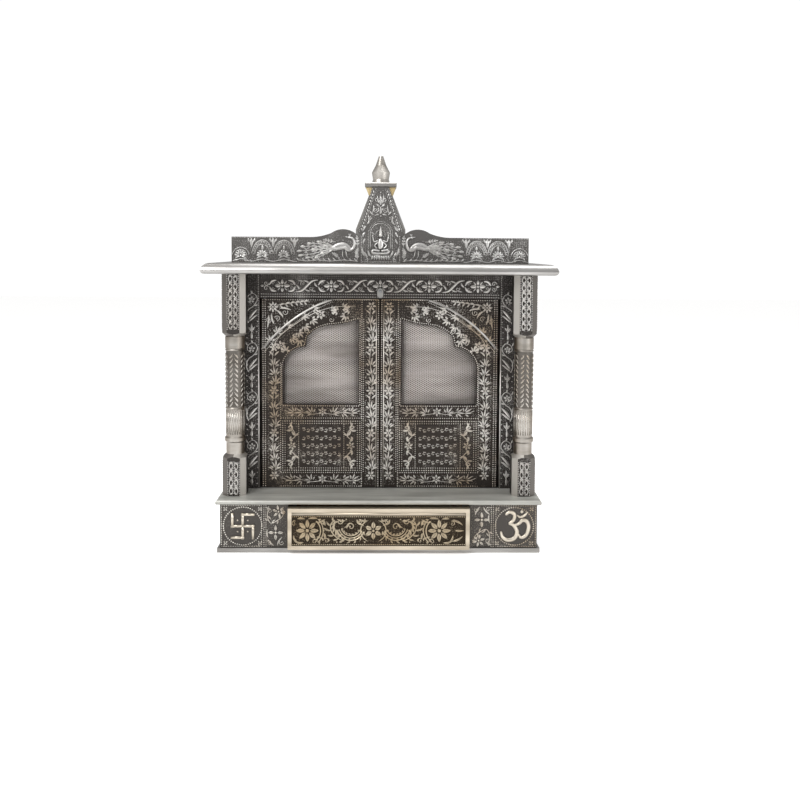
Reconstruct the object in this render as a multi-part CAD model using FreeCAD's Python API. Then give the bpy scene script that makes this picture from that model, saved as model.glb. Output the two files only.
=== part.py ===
import FreeCAD, Part
import math
import os
from FreeCAD import Vector

# Household shrine cabinet: a drawer base, a porch of two turned columns, twin doors with
# arched mesh windows, a bullnosed cornice, and a parapet with a spire and finial.
# Millimetres. X runs to the right, Y to the back, Z up. The origin is on the floor, under
# the middle of the cabinet with its drawer a little open.

# Cornice, the widest board
CORNICE_LENGTH = 460.0
CORNICE_DEPTH = 229.0
CORNICE_THICKNESS = 14.0
CORNICE_NOSE_RUN = 12.0
CORNICE_NOSE_TIP = 5.0
NOSE_CUTTER_OVERRUN = 5.0

# Plinth, base box and shelf
PLINTH_END_INSET = 2.0
PLINTH_THICKNESS = 6.0
PLINTH_LIP = 2.5
BASE_END_INSET = 5.5
BASE_HEIGHT = 57.0
BASE_SETBACK = 4.0
BASE_BOARD = 9.0
BASE_FRONT_WIDTH = 88.2
SHELF_END_INSET = 18.0
SHELF_THICKNESS = 6.0
SHELF_NOSE_TIP = 2.6
SHELF_NOSE_RUN = 3.2

# Cabinet body above the shelf
PORCH_DEPTH = 60.0
BODY_END_INSET = 30.0
WALL_BOARD = 9.0
BACK_BOARD = 4.0
JAMB_WIDTH = 37.5
DOORWAY_HEIGHT = 259.5
LINTEL_HEIGHT = 33.5

# Doors and what hangs them
DOOR_THICKNESS = 8.0
DOOR_RECESS = 1.0
DOOR_EDGE_GAP = 1.2
DOOR_MEETING_GAP = 1.6
DOOR_FOOT_GAP = 1.0
DOOR_HEAD_GAP = 0.8
PIVOT_FROM_FACE = 3.2
PIN_RADIUS = 1.5
PIN_RUNNING_CLEARANCE = 0.05
PIN_IN_BOARD = 5.0
PIN_IN_DOOR = 8.0
PIN_END_CLEARANCE = 0.5

# Window and its cusped arch, measured from the outer lower corner of the opening
OUTER_STILE = 30.0
INNER_STILE = 28.1
WINDOW_SILL = 113.8
WINDOW_HEAD_MARGIN = 27.4
FIRST_LOBE_RUN = 30.4
FIRST_LOBE_RISE = 27.8
FIRST_LOBE_BULGE = 8.6
FIRST_LOBE_BEND_RISE = 18.6
CUSP_RUN = 2.6
CUSP_RISE = 13.9
SECOND_LOBE_RUN = 33.1
SECOND_LOBE_RISE = 15.7
SECOND_LOBE_BEND_RUN = 13.9
SECOND_LOBE_BEND_RISE = 10.7
OGEE_RUN = 36.3
OGEE_RISE = 7.9
OGEE_SAG = 1.2
MESH_THICKNESS = 0.8
MESH_LAP = 6.0
MESH_REBATE = 2.0

# Arched rib and raised panel on each door
RIB_WIDTH = 2.8
RIB_HEIGHT = 1.4
RIB_FACETS = 4
RIB_DROP = 68.3
RIB_RADIUS = 191.0
RIB_CROWN_RISE = 70.3
RIB_CROWN_OFFSET = 54.0
RIB_EDGE_CLEARANCE = 3.1
PANEL_FOOT = 22.0
PANEL_HEIGHT = 71.0
PANEL_OUTER_MARGIN = 28.0
PANEL_INNER_MARGIN = 24.5
PANEL_THICKNESS = 1.2
FIELD_MARGIN_X = 24.8
FIELD_MARGIN_Z = 7.0
FIELD_RISE = 0.8

# Turn button on the lintel
BUTTON_WIDTH = 8.0
BUTTON_LENGTH = 13.0
BUTTON_THICKNESS = 1.4
BUTTON_STANDOFF = 1.6
BUTTON_TIP_CLEARANCE = 0.8
NAIL_RADIUS = 1.0
NAIL_HEAD_RADIUS = 2.0
NAIL_HEAD_HEIGHT = 1.2
NAIL_DEPTH = 7.0
NAIL_RUNNING_CLEARANCE = 0.05
NAIL_HEAD_EASE = 0.8
NAIL_HEAD_GAP = 0.2

# Turned columns
COLUMN_INSET = 8.6
COLUMN_SETBACK = 20.0
BLOCK_WIDTH = 30.8
BLOCK_CHAMFER = 7.0
BASE_BLOCK_HEIGHT = 55.0
CAPITAL_BLOCK_HEIGHT = 82.3
BLOCK_SHOULDER = 5.0
SHAFT_RADIUS = 12.2
NECK_HEIGHT = 14.8
TORUS_HEIGHT = 8.4
TORUS_RADIUS = 14.2
TORUS_FACETS = 3
FLUTED_BAND_HEIGHT = 36.0
RING_HEIGHT = 2.7
RING_RADIUS = 13.1
RING_FACETS = 2
COLLAR_HEIGHT = 16.7
COLLAR_RADIUS = 13.0
COLLAR_EASE = 1.0

# Parapet boards on the cornice
CREST_HEIGHT = 34.8
CREST_THICKNESS = 6.0
CREST_END_HEIGHT = 32.8
CREST_PEAK_HEIGHT = 45.3
CREST_PEAK_OFFSET = 46.0
CREST_SWELL_START = 94.0
CREST_SWELL_JOIN = 66.0
CREST_SWELL_JOIN_HEIGHT = 40.6
CREST_HOLLOW = 1.4

# Spire between and behind the parapet boards
SPIRE_PANEL_WIDTH = 54.4
SPIRE_PANEL_SHOULDER = 60.0
SPIRE_PANEL_TOP = 22.4
SPIRE_PANEL_THICKNESS = 3.0
SPIRE_SHOULDER_START = 34.0
SPIRE_SHOULDER_HEIGHT = 42.2
SPIRE_CORE_WIDTH = 67.0
SPIRE_CORE_TOP = 32.0
SPIRE_CORE_HEIGHT = 91.0
SPIRE_BLOCK_HEIGHT = 11.0
SPIRE_BLOCK_TOP = 40.6
SPIRE_PLATE_WIDTH = 42.6
SPIRE_PLATE_THICKNESS = 6.5
SPIRE_PLATE_CHAMFER = 1.2
FINIAL_FOOT_RADIUS = 12.4
FINIAL_NECK_RADIUS = 10.9
FINIAL_BAND_RADIUS = 12.3
FINIAL_WAIST_RADIUS = 7.3
FINIAL_TIP_RADIUS = 3.0
FINIAL_NECK_HEIGHT = 5.2
FINIAL_BAND_HEIGHT = 9.6
FINIAL_WAIST_HEIGHT = 9.6
FINIAL_TIP_HEIGHT = 12.6

# Drawer and its guides
DRAWER_FRONT_SIDE_GAP = 1.0
DRAWER_FRONT_OVERLAP = 6.3
DRAWER_FRONT_HEIGHT = 53.5
DRAWER_FRONT_THICKNESS = 12.0
DRAWER_FRONT_LIFT = 1.5
DRAWER_BORDER = 5.0
DRAWER_FIELD_DEPTH = 1.5
DRAWER_BOX_LENGTH = 172.0
DRAWER_SIDE_HEIGHT = 44.0
DRAWER_SIDE = 6.0
DRAWER_FLOOR = 3.0
DRAWER_AJAR = 13.0
DRAWER_RUNNING_GAP = 0.4
GUIDE_HEIGHT = 16.0
GUIDE_WIDTH = 9.0

# Planes that the boards meet on
DRAWER_PAST_NOSE = max(DRAWER_AJAR - BASE_SETBACK, 0.0)
BACK_Y = (CORNICE_DEPTH + DRAWER_PAST_NOSE) / 2
NOSE_Y = BACK_Y - CORNICE_DEPTH
BASE_Y = NOSE_Y + BASE_SETBACK
FACADE_Y = NOSE_Y + PORCH_DEPTH
DOOR_Y = FACADE_Y + DOOR_RECESS
PIVOT_Y = DOOR_Y + PIVOT_FROM_FACE
COLUMN_Y = NOSE_Y + COLUMN_SETBACK + BLOCK_WIDTH / 2

BASE_Z = PLINTH_THICKNESS
SHELF_Z = BASE_Z + BASE_HEIGHT
FLOOR_Z = SHELF_Z + SHELF_THICKNESS
LINTEL_Z = FLOOR_Z + DOORWAY_HEIGHT
CORNICE_Z = LINTEL_Z + LINTEL_HEIGHT
ROOF_Z = CORNICE_Z + CORNICE_THICKNESS
DOOR_FOOT_Z = FLOOR_Z + DOOR_FOOT_GAP
DOOR_HEAD_Z = LINTEL_Z - DOOR_HEAD_GAP

# Lengths along X that follow from the cornice
SHELF_LENGTH = CORNICE_LENGTH - 2 * SHELF_END_INSET
PLINTH_LENGTH = SHELF_LENGTH - 2 * PLINTH_END_INSET
BASE_LENGTH = SHELF_LENGTH - 2 * BASE_END_INSET
BODY_LENGTH = CORNICE_LENGTH - 2 * BODY_END_INSET
DOORWAY_WIDTH = BODY_LENGTH - 2 * JAMB_WIDTH
COLUMN_SPACING = BODY_LENGTH - 2 * COLUMN_INSET
DRAWER_OPENING = BASE_LENGTH - 2 * BASE_FRONT_WIDTH
DRAWER_FRONT_WIDTH = DRAWER_OPENING - 2 * DRAWER_FRONT_SIDE_GAP
DRAWER_BOX_WIDTH = DRAWER_FRONT_WIDTH - 2 * DRAWER_FRONT_OVERLAP

# Doors, seen from the middle line outwards
HINGE_ROUND = DOOR_THICKNESS - PIVOT_FROM_FACE
DOOR_INNER_X = DOOR_MEETING_GAP / 2
DOOR_OUTER_X = DOORWAY_WIDTH / 2 - DOOR_EDGE_GAP
PIVOT_X = DOOR_OUTER_X - HINGE_ROUND

LEFT = -1
RIGHT = 1
SIDES = (("left", LEFT), ("right", RIGHT))


# Tools for shaping

def board(x, y, z):
    """A rectangular board from its ranges along X, Y and Z."""
    corner = Vector(min(x), min(y), min(z))
    return Part.makeBox(max(x) - min(x), max(y) - min(y), max(z) - min(z), corner)


def on_side(side, shape):
    """A shape drawn on the right, kept there or mirrored to the left."""
    if side == RIGHT:
        return shape
    return shape.mirror(Vector(0, 0, 0), Vector(1, 0, 0))


def line(start, end):
    """A straight edge."""
    return Part.LineSegment(start, end).toShape()


def arc(start, middle, end):
    """A round edge through three points."""
    return Part.Arc(start, middle, end).toShape()


def chain(points):
    """Straight edges from point to point."""
    return [line(start, end) for start, end in zip(points, points[1:])]


def extruded(edges, direction):
    """A solid from a closed loop of edges, pushed along a direction."""
    return Part.Face(Part.Wire(edges)).extrude(direction)


def turned(pairs, x, y):
    """A solid turned about an upright axis from the radius and height pairs of its outline."""
    outline = [(0, pairs[0][1])] + list(pairs) + [(0, pairs[-1][1]), (0, pairs[0][1])]
    points = [Vector(x + radius, y, height) for radius, height in outline]
    distinct = [point for point, before in zip(points[1:], points) if (point - before).Length > 1e-6]
    face = Part.Face(Part.Wire(chain([distinct[-1]] + distinct)))
    return face.revolve(Vector(x, y, 0), Vector(0, 0, 1), 360)


def bulge(inner, outer, low, high, facets):
    """Radius and height pairs of a half-round swelling: a half circle stretched to fit, in facets."""
    pairs = []
    for step in range(facets + 1):
        turn = math.pi * step / facets
        radius = inner + (outer - inner) * math.sin(turn)
        pairs.append((radius, low + (high - low) * (1 - math.cos(turn)) / 2))
    return pairs


def upright_bore(x, y, z, radius, depth):
    """The round cutter of an upright hole, from its lowest point."""
    return Part.makeCylinder(radius, depth, Vector(x, y, z))


def frustum(low, high):
    """A four-sided block between two level rectangles, each (x range, y range, height)."""
    rings = []
    for x, y, z in (low, high):
        front = [Vector(x[0], y[0], z), Vector(x[1], y[0], z)]
        rings.append(front + [Vector(x[1], y[1], z), Vector(x[0], y[1], z)])
    below, above = rings
    loops = [list(reversed(below)), above]
    for start in range(4):
        end = (start + 1) % 4
        loops.append([below[start], below[end], above[end], above[start]])
    faces = [Part.Face(Part.Wire(chain(loop + loop[:1]))) for loop in loops]
    return Part.Solid(Part.Shell(faces))


def half(width):
    """The range of a width laid evenly about the middle line."""
    return (-width / 2, width / 2)


# Boards with a round nose along the front and both ends

def nose_profile(tip, inwards, along, thickness, tip_height, run):
    """The closed section of a nose: a round of its own size above the tip and below it.

    tip is the foremost point at the underside's height, inwards points into the board, and
    along is a point far inside the board, at the same height.
    """
    up = Vector(0, 0, 1)
    slant = 2 ** -0.5
    tip_point = tip + up * tip_height
    under = tip + inwards * tip_height
    over = tip + inwards * run + up * thickness
    under_bend = tip + (inwards + up) * (tip_height * (1 - slant))
    over_bend = tip_point + inwards * (run * (1 - slant)) + up * ((thickness - tip_height) * slant)
    edges = [arc(under, under_bend, tip_point), arc(tip_point, over_bend, over)]
    return edges + chain([over, along + up * thickness, along, under])


def nosed_board(length, low_z, thickness, tip_height, run):
    """A board as deep as the cornice whose front and end noses meet in mitred corners."""
    past_end_x = length / 2 + NOSE_CUTTER_OVERRUN
    before_y = NOSE_Y - NOSE_CUTTER_OVERRUN
    front_tip = Vector(-past_end_x, NOSE_Y, low_z)
    rear_foot = Vector(-past_end_x, BACK_Y, low_z)
    front_edges = nose_profile(front_tip, Vector(0, 1, 0), rear_foot, thickness, tip_height, run)
    shape = extruded(front_edges, Vector(2 * past_end_x, 0, 0))
    for side in (LEFT, RIGHT):
        end_tip = Vector(side * length / 2, before_y, low_z)
        far_end = Vector(-side * past_end_x, before_y, low_z)
        end_edges = nose_profile(end_tip, Vector(-side, 0, 0), far_end, thickness, tip_height, run)
        cutter_depth = CORNICE_DEPTH + 2 * NOSE_CUTTER_OVERRUN
        shape = shape.common(extruded(end_edges, Vector(0, cutter_depth, 0)))
    return shape


def cornice_board():
    """The roof board, the widest one."""
    return nosed_board(CORNICE_LENGTH, CORNICE_Z, CORNICE_THICKNESS, CORNICE_NOSE_TIP, CORNICE_NOSE_RUN)


# Base box

def plinth_board():
    """The thin board that everything stands on, with a lip in front of the base."""
    return board(half(PLINTH_LENGTH), (BASE_Y - PLINTH_LIP, BACK_Y), (0, BASE_Z))


def base_front(side):
    """A fixed front board beside the drawer."""
    x = (DRAWER_OPENING / 2, BASE_LENGTH / 2)
    return on_side(side, board(x, (BASE_Y, BASE_Y + BASE_BOARD), (BASE_Z, SHELF_Z)))


def base_side(side):
    """An end board of the base box."""
    x = (BASE_LENGTH / 2 - BASE_BOARD, BASE_LENGTH / 2)
    return on_side(side, board(x, (BASE_Y + BASE_BOARD, BACK_Y), (BASE_Z, SHELF_Z)))


def base_back():
    """The back board of the base box, between its end boards."""
    x = half(BASE_LENGTH - 2 * BASE_BOARD)
    return board(x, (BACK_Y - BASE_BOARD, BACK_Y), (BASE_Z, SHELF_Z))


def drawer_guide(side):
    """A batten on the plinth that leads the drawer and stops its front when it is shut."""
    inner_x = DRAWER_BOX_WIDTH / 2 + DRAWER_RUNNING_GAP
    stop_y = BASE_Y + DRAWER_FRONT_THICKNESS + DRAWER_RUNNING_GAP
    x = (inner_x, inner_x + GUIDE_WIDTH)
    return on_side(side, board(x, (stop_y, BACK_Y - BASE_BOARD), (BASE_Z, BASE_Z + GUIDE_HEIGHT)))


def shelf_board():
    """The porch floor, with round front and end noses and sockets for the door pins."""
    shape = nosed_board(SHELF_LENGTH, SHELF_Z, SHELF_THICKNESS, SHELF_NOSE_TIP, SHELF_NOSE_RUN)
    socket_z = FLOOR_Z - PIN_IN_BOARD
    for side in (LEFT, RIGHT):
        shape = shape.cut(upright_bore(side * PIVOT_X, PIVOT_Y, socket_z, PIN_RADIUS, PIN_IN_BOARD))
    return shape


# Body walls

def side_wall(side):
    """An end wall of the shrine chamber."""
    x = (BODY_LENGTH / 2 - WALL_BOARD, BODY_LENGTH / 2)
    y = (FACADE_Y + WALL_BOARD, BACK_Y - BACK_BOARD)
    return on_side(side, board(x, y, (FLOOR_Z, CORNICE_Z)))


def back_board():
    """The thin back of the chamber."""
    return board(half(BODY_LENGTH), (BACK_Y - BACK_BOARD, BACK_Y), (FLOOR_Z, CORNICE_Z))


def jamb(side):
    """The front board beside the doorway, from shelf to cornice."""
    x = (DOORWAY_WIDTH / 2, BODY_LENGTH / 2)
    y = (FACADE_Y, FACADE_Y + WALL_BOARD)
    return on_side(side, board(x, y, (FLOOR_Z, CORNICE_Z)))


def button_nail_z():
    """The height of the turn button's nail."""
    return LINTEL_Z + BUTTON_TIP_CLEARANCE + BUTTON_LENGTH - BUTTON_WIDTH / 2


def lintel():
    """The board over the doorway, with sockets for the door pins and the button's nail."""
    shape = board(half(DOORWAY_WIDTH), (FACADE_Y, FACADE_Y + WALL_BOARD), (LINTEL_Z, CORNICE_Z))
    for side in (LEFT, RIGHT):
        shape = shape.cut(upright_bore(side * PIVOT_X, PIVOT_Y, LINTEL_Z, PIN_RADIUS, PIN_IN_BOARD))
    nail_start = Vector(0, FACADE_Y, button_nail_z())
    return shape.cut(Part.makeCylinder(NAIL_RADIUS, NAIL_DEPTH, nail_start, Vector(0, 1, 0)))


def pivot_pins():
    """Four upright pins: one at the foot and one at the head of each door."""
    pins = []
    length = PIN_IN_BOARD + PIN_IN_DOOR
    for side in (LEFT, RIGHT):
        foot_z = FLOOR_Z - PIN_IN_BOARD
        head_z = LINTEL_Z - PIN_IN_DOOR
        pins.append(upright_bore(side * PIVOT_X, PIVOT_Y, foot_z, PIN_RADIUS, length))
        pins.append(upright_bore(side * PIVOT_X, PIVOT_Y, head_z, PIN_RADIUS, length))
    return Part.makeCompound(pins)


# Columns

def octagon(x, y, z, height):
    """An eight-sided block: a square with its four upright corners planed off."""
    reach = BLOCK_WIDTH / 2
    flat = reach - BLOCK_CHAMFER
    corners = [(-flat, -reach), (flat, -reach), (reach, -flat), (reach, flat)]
    corners += [(flat, reach), (-flat, reach), (-reach, flat), (-reach, -flat)]
    points = [Vector(x + across, y + along, z) for across, along in corners]
    return extruded(chain(points + points[:1]), Vector(0, 0, height))


def shouldered_block(x, height, z_full, z_small):
    """An eight-sided column block whose end by the shaft is turned to a shoulder."""
    up = 1 if z_small > z_full else -1
    corner_radius = ((BLOCK_WIDTH / 2) ** 2 + (BLOCK_WIDTH / 2 - BLOCK_CHAMFER) ** 2) ** 0.5
    outer = corner_radius + SHAFT_RADIUS
    start_z = z_small - up * BLOCK_SHOULDER
    pairs = [(outer, z_full), (outer, start_z), (corner_radius, start_z), (SHAFT_RADIUS, z_small)]
    prism = octagon(x, COLUMN_Y, min(z_full, z_small), height)
    return prism.common(turned(pairs, x, COLUMN_Y))


def column_base(side):
    """The eight-sided foot block."""
    x = side * COLUMN_SPACING / 2
    return shouldered_block(x, BASE_BLOCK_HEIGHT, FLOOR_Z, FLOOR_Z + BASE_BLOCK_HEIGHT)


def column_capital(side):
    """The taller eight-sided block under the cornice."""
    x = side * COLUMN_SPACING / 2
    return shouldered_block(x, CAPITAL_BLOCK_HEIGHT, CORNICE_Z, CORNICE_Z - CAPITAL_BLOCK_HEIGHT)


def column_shaft(side):
    """The turned shaft: neck, torus, fluted band, ring, long shaft, ring and collar."""
    foot_z = FLOOR_Z + BASE_BLOCK_HEIGHT
    head_z = CORNICE_Z - CAPITAL_BLOCK_HEIGHT
    torus_z = foot_z + NECK_HEIGHT
    band_z = torus_z + TORUS_HEIGHT
    ring_z = band_z + FLUTED_BAND_HEIGHT
    collar_z = head_z - COLLAR_HEIGHT
    pairs = [(SHAFT_RADIUS, foot_z)]
    pairs += bulge(SHAFT_RADIUS, TORUS_RADIUS, torus_z, band_z, TORUS_FACETS)
    pairs += bulge(SHAFT_RADIUS, RING_RADIUS, ring_z, ring_z + RING_HEIGHT, RING_FACETS)
    pairs += bulge(SHAFT_RADIUS, RING_RADIUS, collar_z - RING_HEIGHT, collar_z, RING_FACETS)
    pairs += [(COLLAR_RADIUS, collar_z + COLLAR_EASE), (COLLAR_RADIUS, head_z - COLLAR_EASE)]
    pairs.append((SHAFT_RADIUS, head_z))
    return turned(pairs, side * COLUMN_SPACING / 2, COLUMN_Y)


# Parapet and spire

def crest(side):
    """A parapet board: a level top that swells to a hump beside the spire."""

    def at(x, height):
        return Vector(x, FACADE_Y, ROOF_Z + height)

    inner_x = SPIRE_PANEL_WIDTH / 2
    outer_x = BODY_LENGTH / 2
    swell_start = at(CREST_SWELL_START, CREST_HEIGHT)
    swell_join = at(CREST_SWELL_JOIN, CREST_SWELL_JOIN_HEIGHT)
    hollow_x = (CREST_SWELL_START + CREST_SWELL_JOIN) / 2
    hollow_height = (CREST_HEIGHT + CREST_SWELL_JOIN_HEIGHT) / 2 - CREST_HOLLOW
    inner_top = at(inner_x, CREST_END_HEIGHT)
    edges = chain([inner_top, at(inner_x, 0), at(outer_x, 0), at(outer_x, CREST_HEIGHT), swell_start])
    edges.append(arc(swell_start, at(hollow_x, hollow_height), swell_join))
    edges.append(arc(swell_join, at(CREST_PEAK_OFFSET, CREST_PEAK_HEIGHT), inner_top))
    return on_side(side, extruded(edges, Vector(0, CREST_THICKNESS, 0)))


def spire_panel():
    """The front panel of the spire: upright between the parapet boards, then tapering."""
    foot = SPIRE_PANEL_WIDTH / 2
    shoulder = SPIRE_PANEL_SHOULDER / 2
    top = SPIRE_PANEL_TOP / 2
    top_height = SPIRE_CORE_HEIGHT + SPIRE_BLOCK_HEIGHT
    right = [(foot, 0), (foot, SPIRE_SHOULDER_START), (shoulder, SPIRE_SHOULDER_HEIGHT), (top, top_height)]
    left = [(-x, height) for x, height in reversed(right)]
    points = [Vector(x, FACADE_Y, ROOF_Z + height) for x, height in right + left]
    return extruded(chain(points + points[:1]), Vector(0, SPIRE_PANEL_THICKNESS, 0))


def spire_rear_y():
    """The back of the parapet boards, where the wide body of the spire starts."""
    return FACADE_Y + CREST_THICKNESS


def spire_core():
    """The body of the spire: a tongue between the parapet boards, a square foot behind them
    and a tapering upper part behind the panel."""
    panel_back = FACADE_Y + SPIRE_PANEL_THICKNESS
    rear = spire_rear_y()
    foot_x = half(SPIRE_CORE_WIDTH)
    foot_y = (rear, rear + SPIRE_CORE_WIDTH - CREST_THICKNESS)
    taper_z = ROOF_Z + CREST_PEAK_HEIGHT
    top_z = ROOF_Z + SPIRE_CORE_HEIGHT
    top_x = half(SPIRE_CORE_TOP)
    tongue = board(half(SPIRE_PANEL_WIDTH), (panel_back, rear), (ROOF_Z, taper_z))
    foot = board(foot_x, foot_y, (ROOF_Z, taper_z))
    upper = frustum((foot_x, (panel_back, foot_y[1]), taper_z),
                    (top_x, (panel_back, panel_back + SPIRE_CORE_TOP), top_z))
    return foot.fuse([tongue, upper]).removeSplitter()


def spire_plate_y():
    """The range of the spire's top plate from front to back, flush with the panel's face."""
    return (FACADE_Y, FACADE_Y + SPIRE_PLATE_WIDTH)


def spire_block():
    """The bare wooden block that widens upwards under the plate, behind the panel."""
    panel_back = FACADE_Y + SPIRE_PANEL_THICKNESS
    low_z = ROOF_Z + SPIRE_CORE_HEIGHT
    low = (half(SPIRE_CORE_TOP), (panel_back, panel_back + SPIRE_CORE_TOP), low_z)
    high = (half(SPIRE_BLOCK_TOP), (panel_back, FACADE_Y + SPIRE_BLOCK_TOP), low_z + SPIRE_BLOCK_HEIGHT)
    return frustum(low, high)


def spire_plate():
    """The square slab that carries the finial, with planed edges."""
    low_z = ROOF_Z + SPIRE_CORE_HEIGHT + SPIRE_BLOCK_HEIGHT
    slab = board(half(SPIRE_PLATE_WIDTH), spire_plate_y(), (low_z, low_z + SPIRE_PLATE_THICKNESS))
    return slab.makeChamfer(SPIRE_PLATE_CHAMFER, slab.Edges)


def finial():
    """The turned finial: a flared foot, a band that widens upwards and a cone with a blunt tip."""
    level = ROOF_Z + SPIRE_CORE_HEIGHT + SPIRE_BLOCK_HEIGHT + SPIRE_PLATE_THICKNESS
    pairs = [(FINIAL_FOOT_RADIUS, level)]
    rings = ((FINIAL_NECK_RADIUS, FINIAL_NECK_HEIGHT), (FINIAL_BAND_RADIUS, FINIAL_BAND_HEIGHT),
             (FINIAL_WAIST_RADIUS, FINIAL_WAIST_HEIGHT), (FINIAL_TIP_RADIUS, FINIAL_TIP_HEIGHT))
    for radius, rise in rings:
        level += rise
        pairs.append((radius, level))
    return turned(pairs, 0, sum(spire_plate_y()) / 2)


# Doors, drawn on the right

def window_corner():
    """The outer lower corner of the window."""
    return (DOOR_OUTER_X - OUTER_STILE, DOOR_FOOT_Z + WINDOW_SILL)


def window_width():
    """The clear width between the stiles."""
    return DOOR_OUTER_X - OUTER_STILE - DOOR_INNER_X - INNER_STILE


def window_crown_z():
    """The top of the window, at its inner side."""
    return DOOR_HEAD_Z - WINDOW_HEAD_MARGIN


def window_edges(y):
    """The closed cusped outline of the window, its arch stretched to the clear width."""
    corner_x, corner_z = window_corner()
    cusp_run = FIRST_LOBE_RUN + CUSP_RUN
    second_run = cusp_run + SECOND_LOBE_RUN
    crown_run = second_run + OGEE_RUN
    stretch = window_width() / crown_run

    def at(run, rise):
        return Vector(corner_x - run * stretch, y, corner_z + rise)

    crown_rise = window_crown_z() - corner_z
    second_rise = crown_rise - OGEE_RISE
    cusp_rise = second_rise - SECOND_LOBE_RISE
    shoulder = cusp_rise - CUSP_RISE
    spring_rise = shoulder - FIRST_LOBE_RISE
    ogee_run = (second_run + crown_run) / 2
    ogee_rise = (second_rise + crown_rise) / 2 - OGEE_SAG
    spring = at(0, spring_rise)
    first_bend = at(FIRST_LOBE_BULGE, spring_rise + FIRST_LOBE_BEND_RISE)
    first_end = at(FIRST_LOBE_RUN, shoulder)
    cusp = at(cusp_run, cusp_rise)
    second_bend = at(cusp_run + SECOND_LOBE_BEND_RUN, cusp_rise + SECOND_LOBE_BEND_RISE)
    second_end = at(second_run, second_rise)
    crown = at(crown_run, crown_rise)
    edges = [line(at(0, 0), spring), arc(spring, first_bend, first_end), line(first_end, cusp)]
    edges += [arc(cusp, second_bend, second_end), arc(second_end, at(ogee_run, ogee_rise), crown)]
    return edges + chain([crown, at(crown_run, 0), at(0, 0)])


def leaf_edges(z):
    """The plan of a door leaf: a slab whose outer edge is round about the pivot."""
    rear_y = DOOR_Y + DOOR_THICKNESS
    front_corner_x = PIVOT_X + (HINGE_ROUND ** 2 - PIVOT_FROM_FACE ** 2) ** 0.5
    front_corner = Vector(front_corner_x, DOOR_Y, z)
    rear_tangent = Vector(PIVOT_X, rear_y, z)
    edges = [arc(front_corner, Vector(DOOR_OUTER_X, PIVOT_Y, z), rear_tangent)]
    inner_rear = Vector(DOOR_INNER_X, rear_y, z)
    inner_front = Vector(DOOR_INNER_X, DOOR_Y, z)
    return edges + chain([rear_tangent, inner_rear, inner_front, front_corner])


def door_frame(side):
    """A door leaf with its window cut through, a rebate for the mesh and two pin bores."""
    shape = extruded(leaf_edges(DOOR_FOOT_Z), Vector(0, 0, DOOR_HEAD_Z - DOOR_FOOT_Z))
    shape = shape.cut(extruded(window_edges(DOOR_Y), Vector(0, DOOR_THICKNESS, 0)))
    rebate_y = DOOR_Y + DOOR_THICKNESS - MESH_REBATE
    corner_x, corner_z = window_corner()
    mesh_x = (corner_x - window_width() - MESH_LAP, corner_x + MESH_LAP)
    mesh_z = (corner_z - MESH_LAP, window_crown_z() + MESH_LAP)
    shape = shape.cut(board(mesh_x, (rebate_y, DOOR_Y + DOOR_THICKNESS), mesh_z))
    bore_radius = PIN_RADIUS + PIN_RUNNING_CLEARANCE
    foot_depth = PIN_IN_DOOR - DOOR_FOOT_GAP + PIN_END_CLEARANCE
    head_depth = PIN_IN_DOOR - DOOR_HEAD_GAP + PIN_END_CLEARANCE
    shape = shape.cut(upright_bore(PIVOT_X, PIVOT_Y, DOOR_FOOT_Z, bore_radius, foot_depth))
    head_z = DOOR_HEAD_Z - head_depth
    shape = shape.cut(upright_bore(PIVOT_X, PIVOT_Y, head_z, bore_radius, head_depth))
    return on_side(side, shape)


def door_mesh(side):
    """The mesh sheet that lies in the rebate behind the window."""
    corner_x, corner_z = window_corner()
    front_y = DOOR_Y + DOOR_THICKNESS - MESH_REBATE
    x = (corner_x - window_width() - MESH_LAP, corner_x + MESH_LAP)
    z = (corner_z - MESH_LAP, window_crown_z() + MESH_LAP)
    return on_side(side, board(x, (front_y, front_y + MESH_THICKNESS), z))


def door_panel(side):
    """The raised panel under the window, with a raised middle field."""
    x = (DOOR_INNER_X + PANEL_INNER_MARGIN, DOOR_OUTER_X - PANEL_OUTER_MARGIN)
    foot_z = DOOR_FOOT_Z + PANEL_FOOT
    z = (foot_z, foot_z + PANEL_HEIGHT)
    plate = board(x, (DOOR_Y - PANEL_THICKNESS, DOOR_Y), z)
    field_x = (x[0] + FIELD_MARGIN_X, x[1] - FIELD_MARGIN_X)
    field_z = (z[0] + FIELD_MARGIN_Z, z[1] - FIELD_MARGIN_Z)
    field = board(field_x, (DOOR_Y - PANEL_THICKNESS - FIELD_RISE, DOOR_Y - PANEL_THICKNESS), field_z)
    return on_side(side, plate.fuse(field))


def rib_centre():
    """The centre of the arched rib's circle, from its spring and its crown."""
    start_x = DOOR_OUTER_X - RIB_EDGE_CLEARANCE
    start_z = DOOR_HEAD_Z - RIB_DROP
    end_x = DOOR_INNER_X + RIB_CROWN_OFFSET
    end_z = start_z + RIB_CROWN_RISE
    chord = Vector(end_x - start_x, 0, end_z - start_z)
    middle = Vector((start_x + end_x) / 2, DOOR_Y, (start_z + end_z) / 2)
    drop = (RIB_RADIUS ** 2 - (chord.Length / 2) ** 2) ** 0.5
    normal = Vector(chord.z, 0, -chord.x) / chord.Length
    if normal.z > 0:
        normal = normal * -1
    return middle + normal * drop


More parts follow.
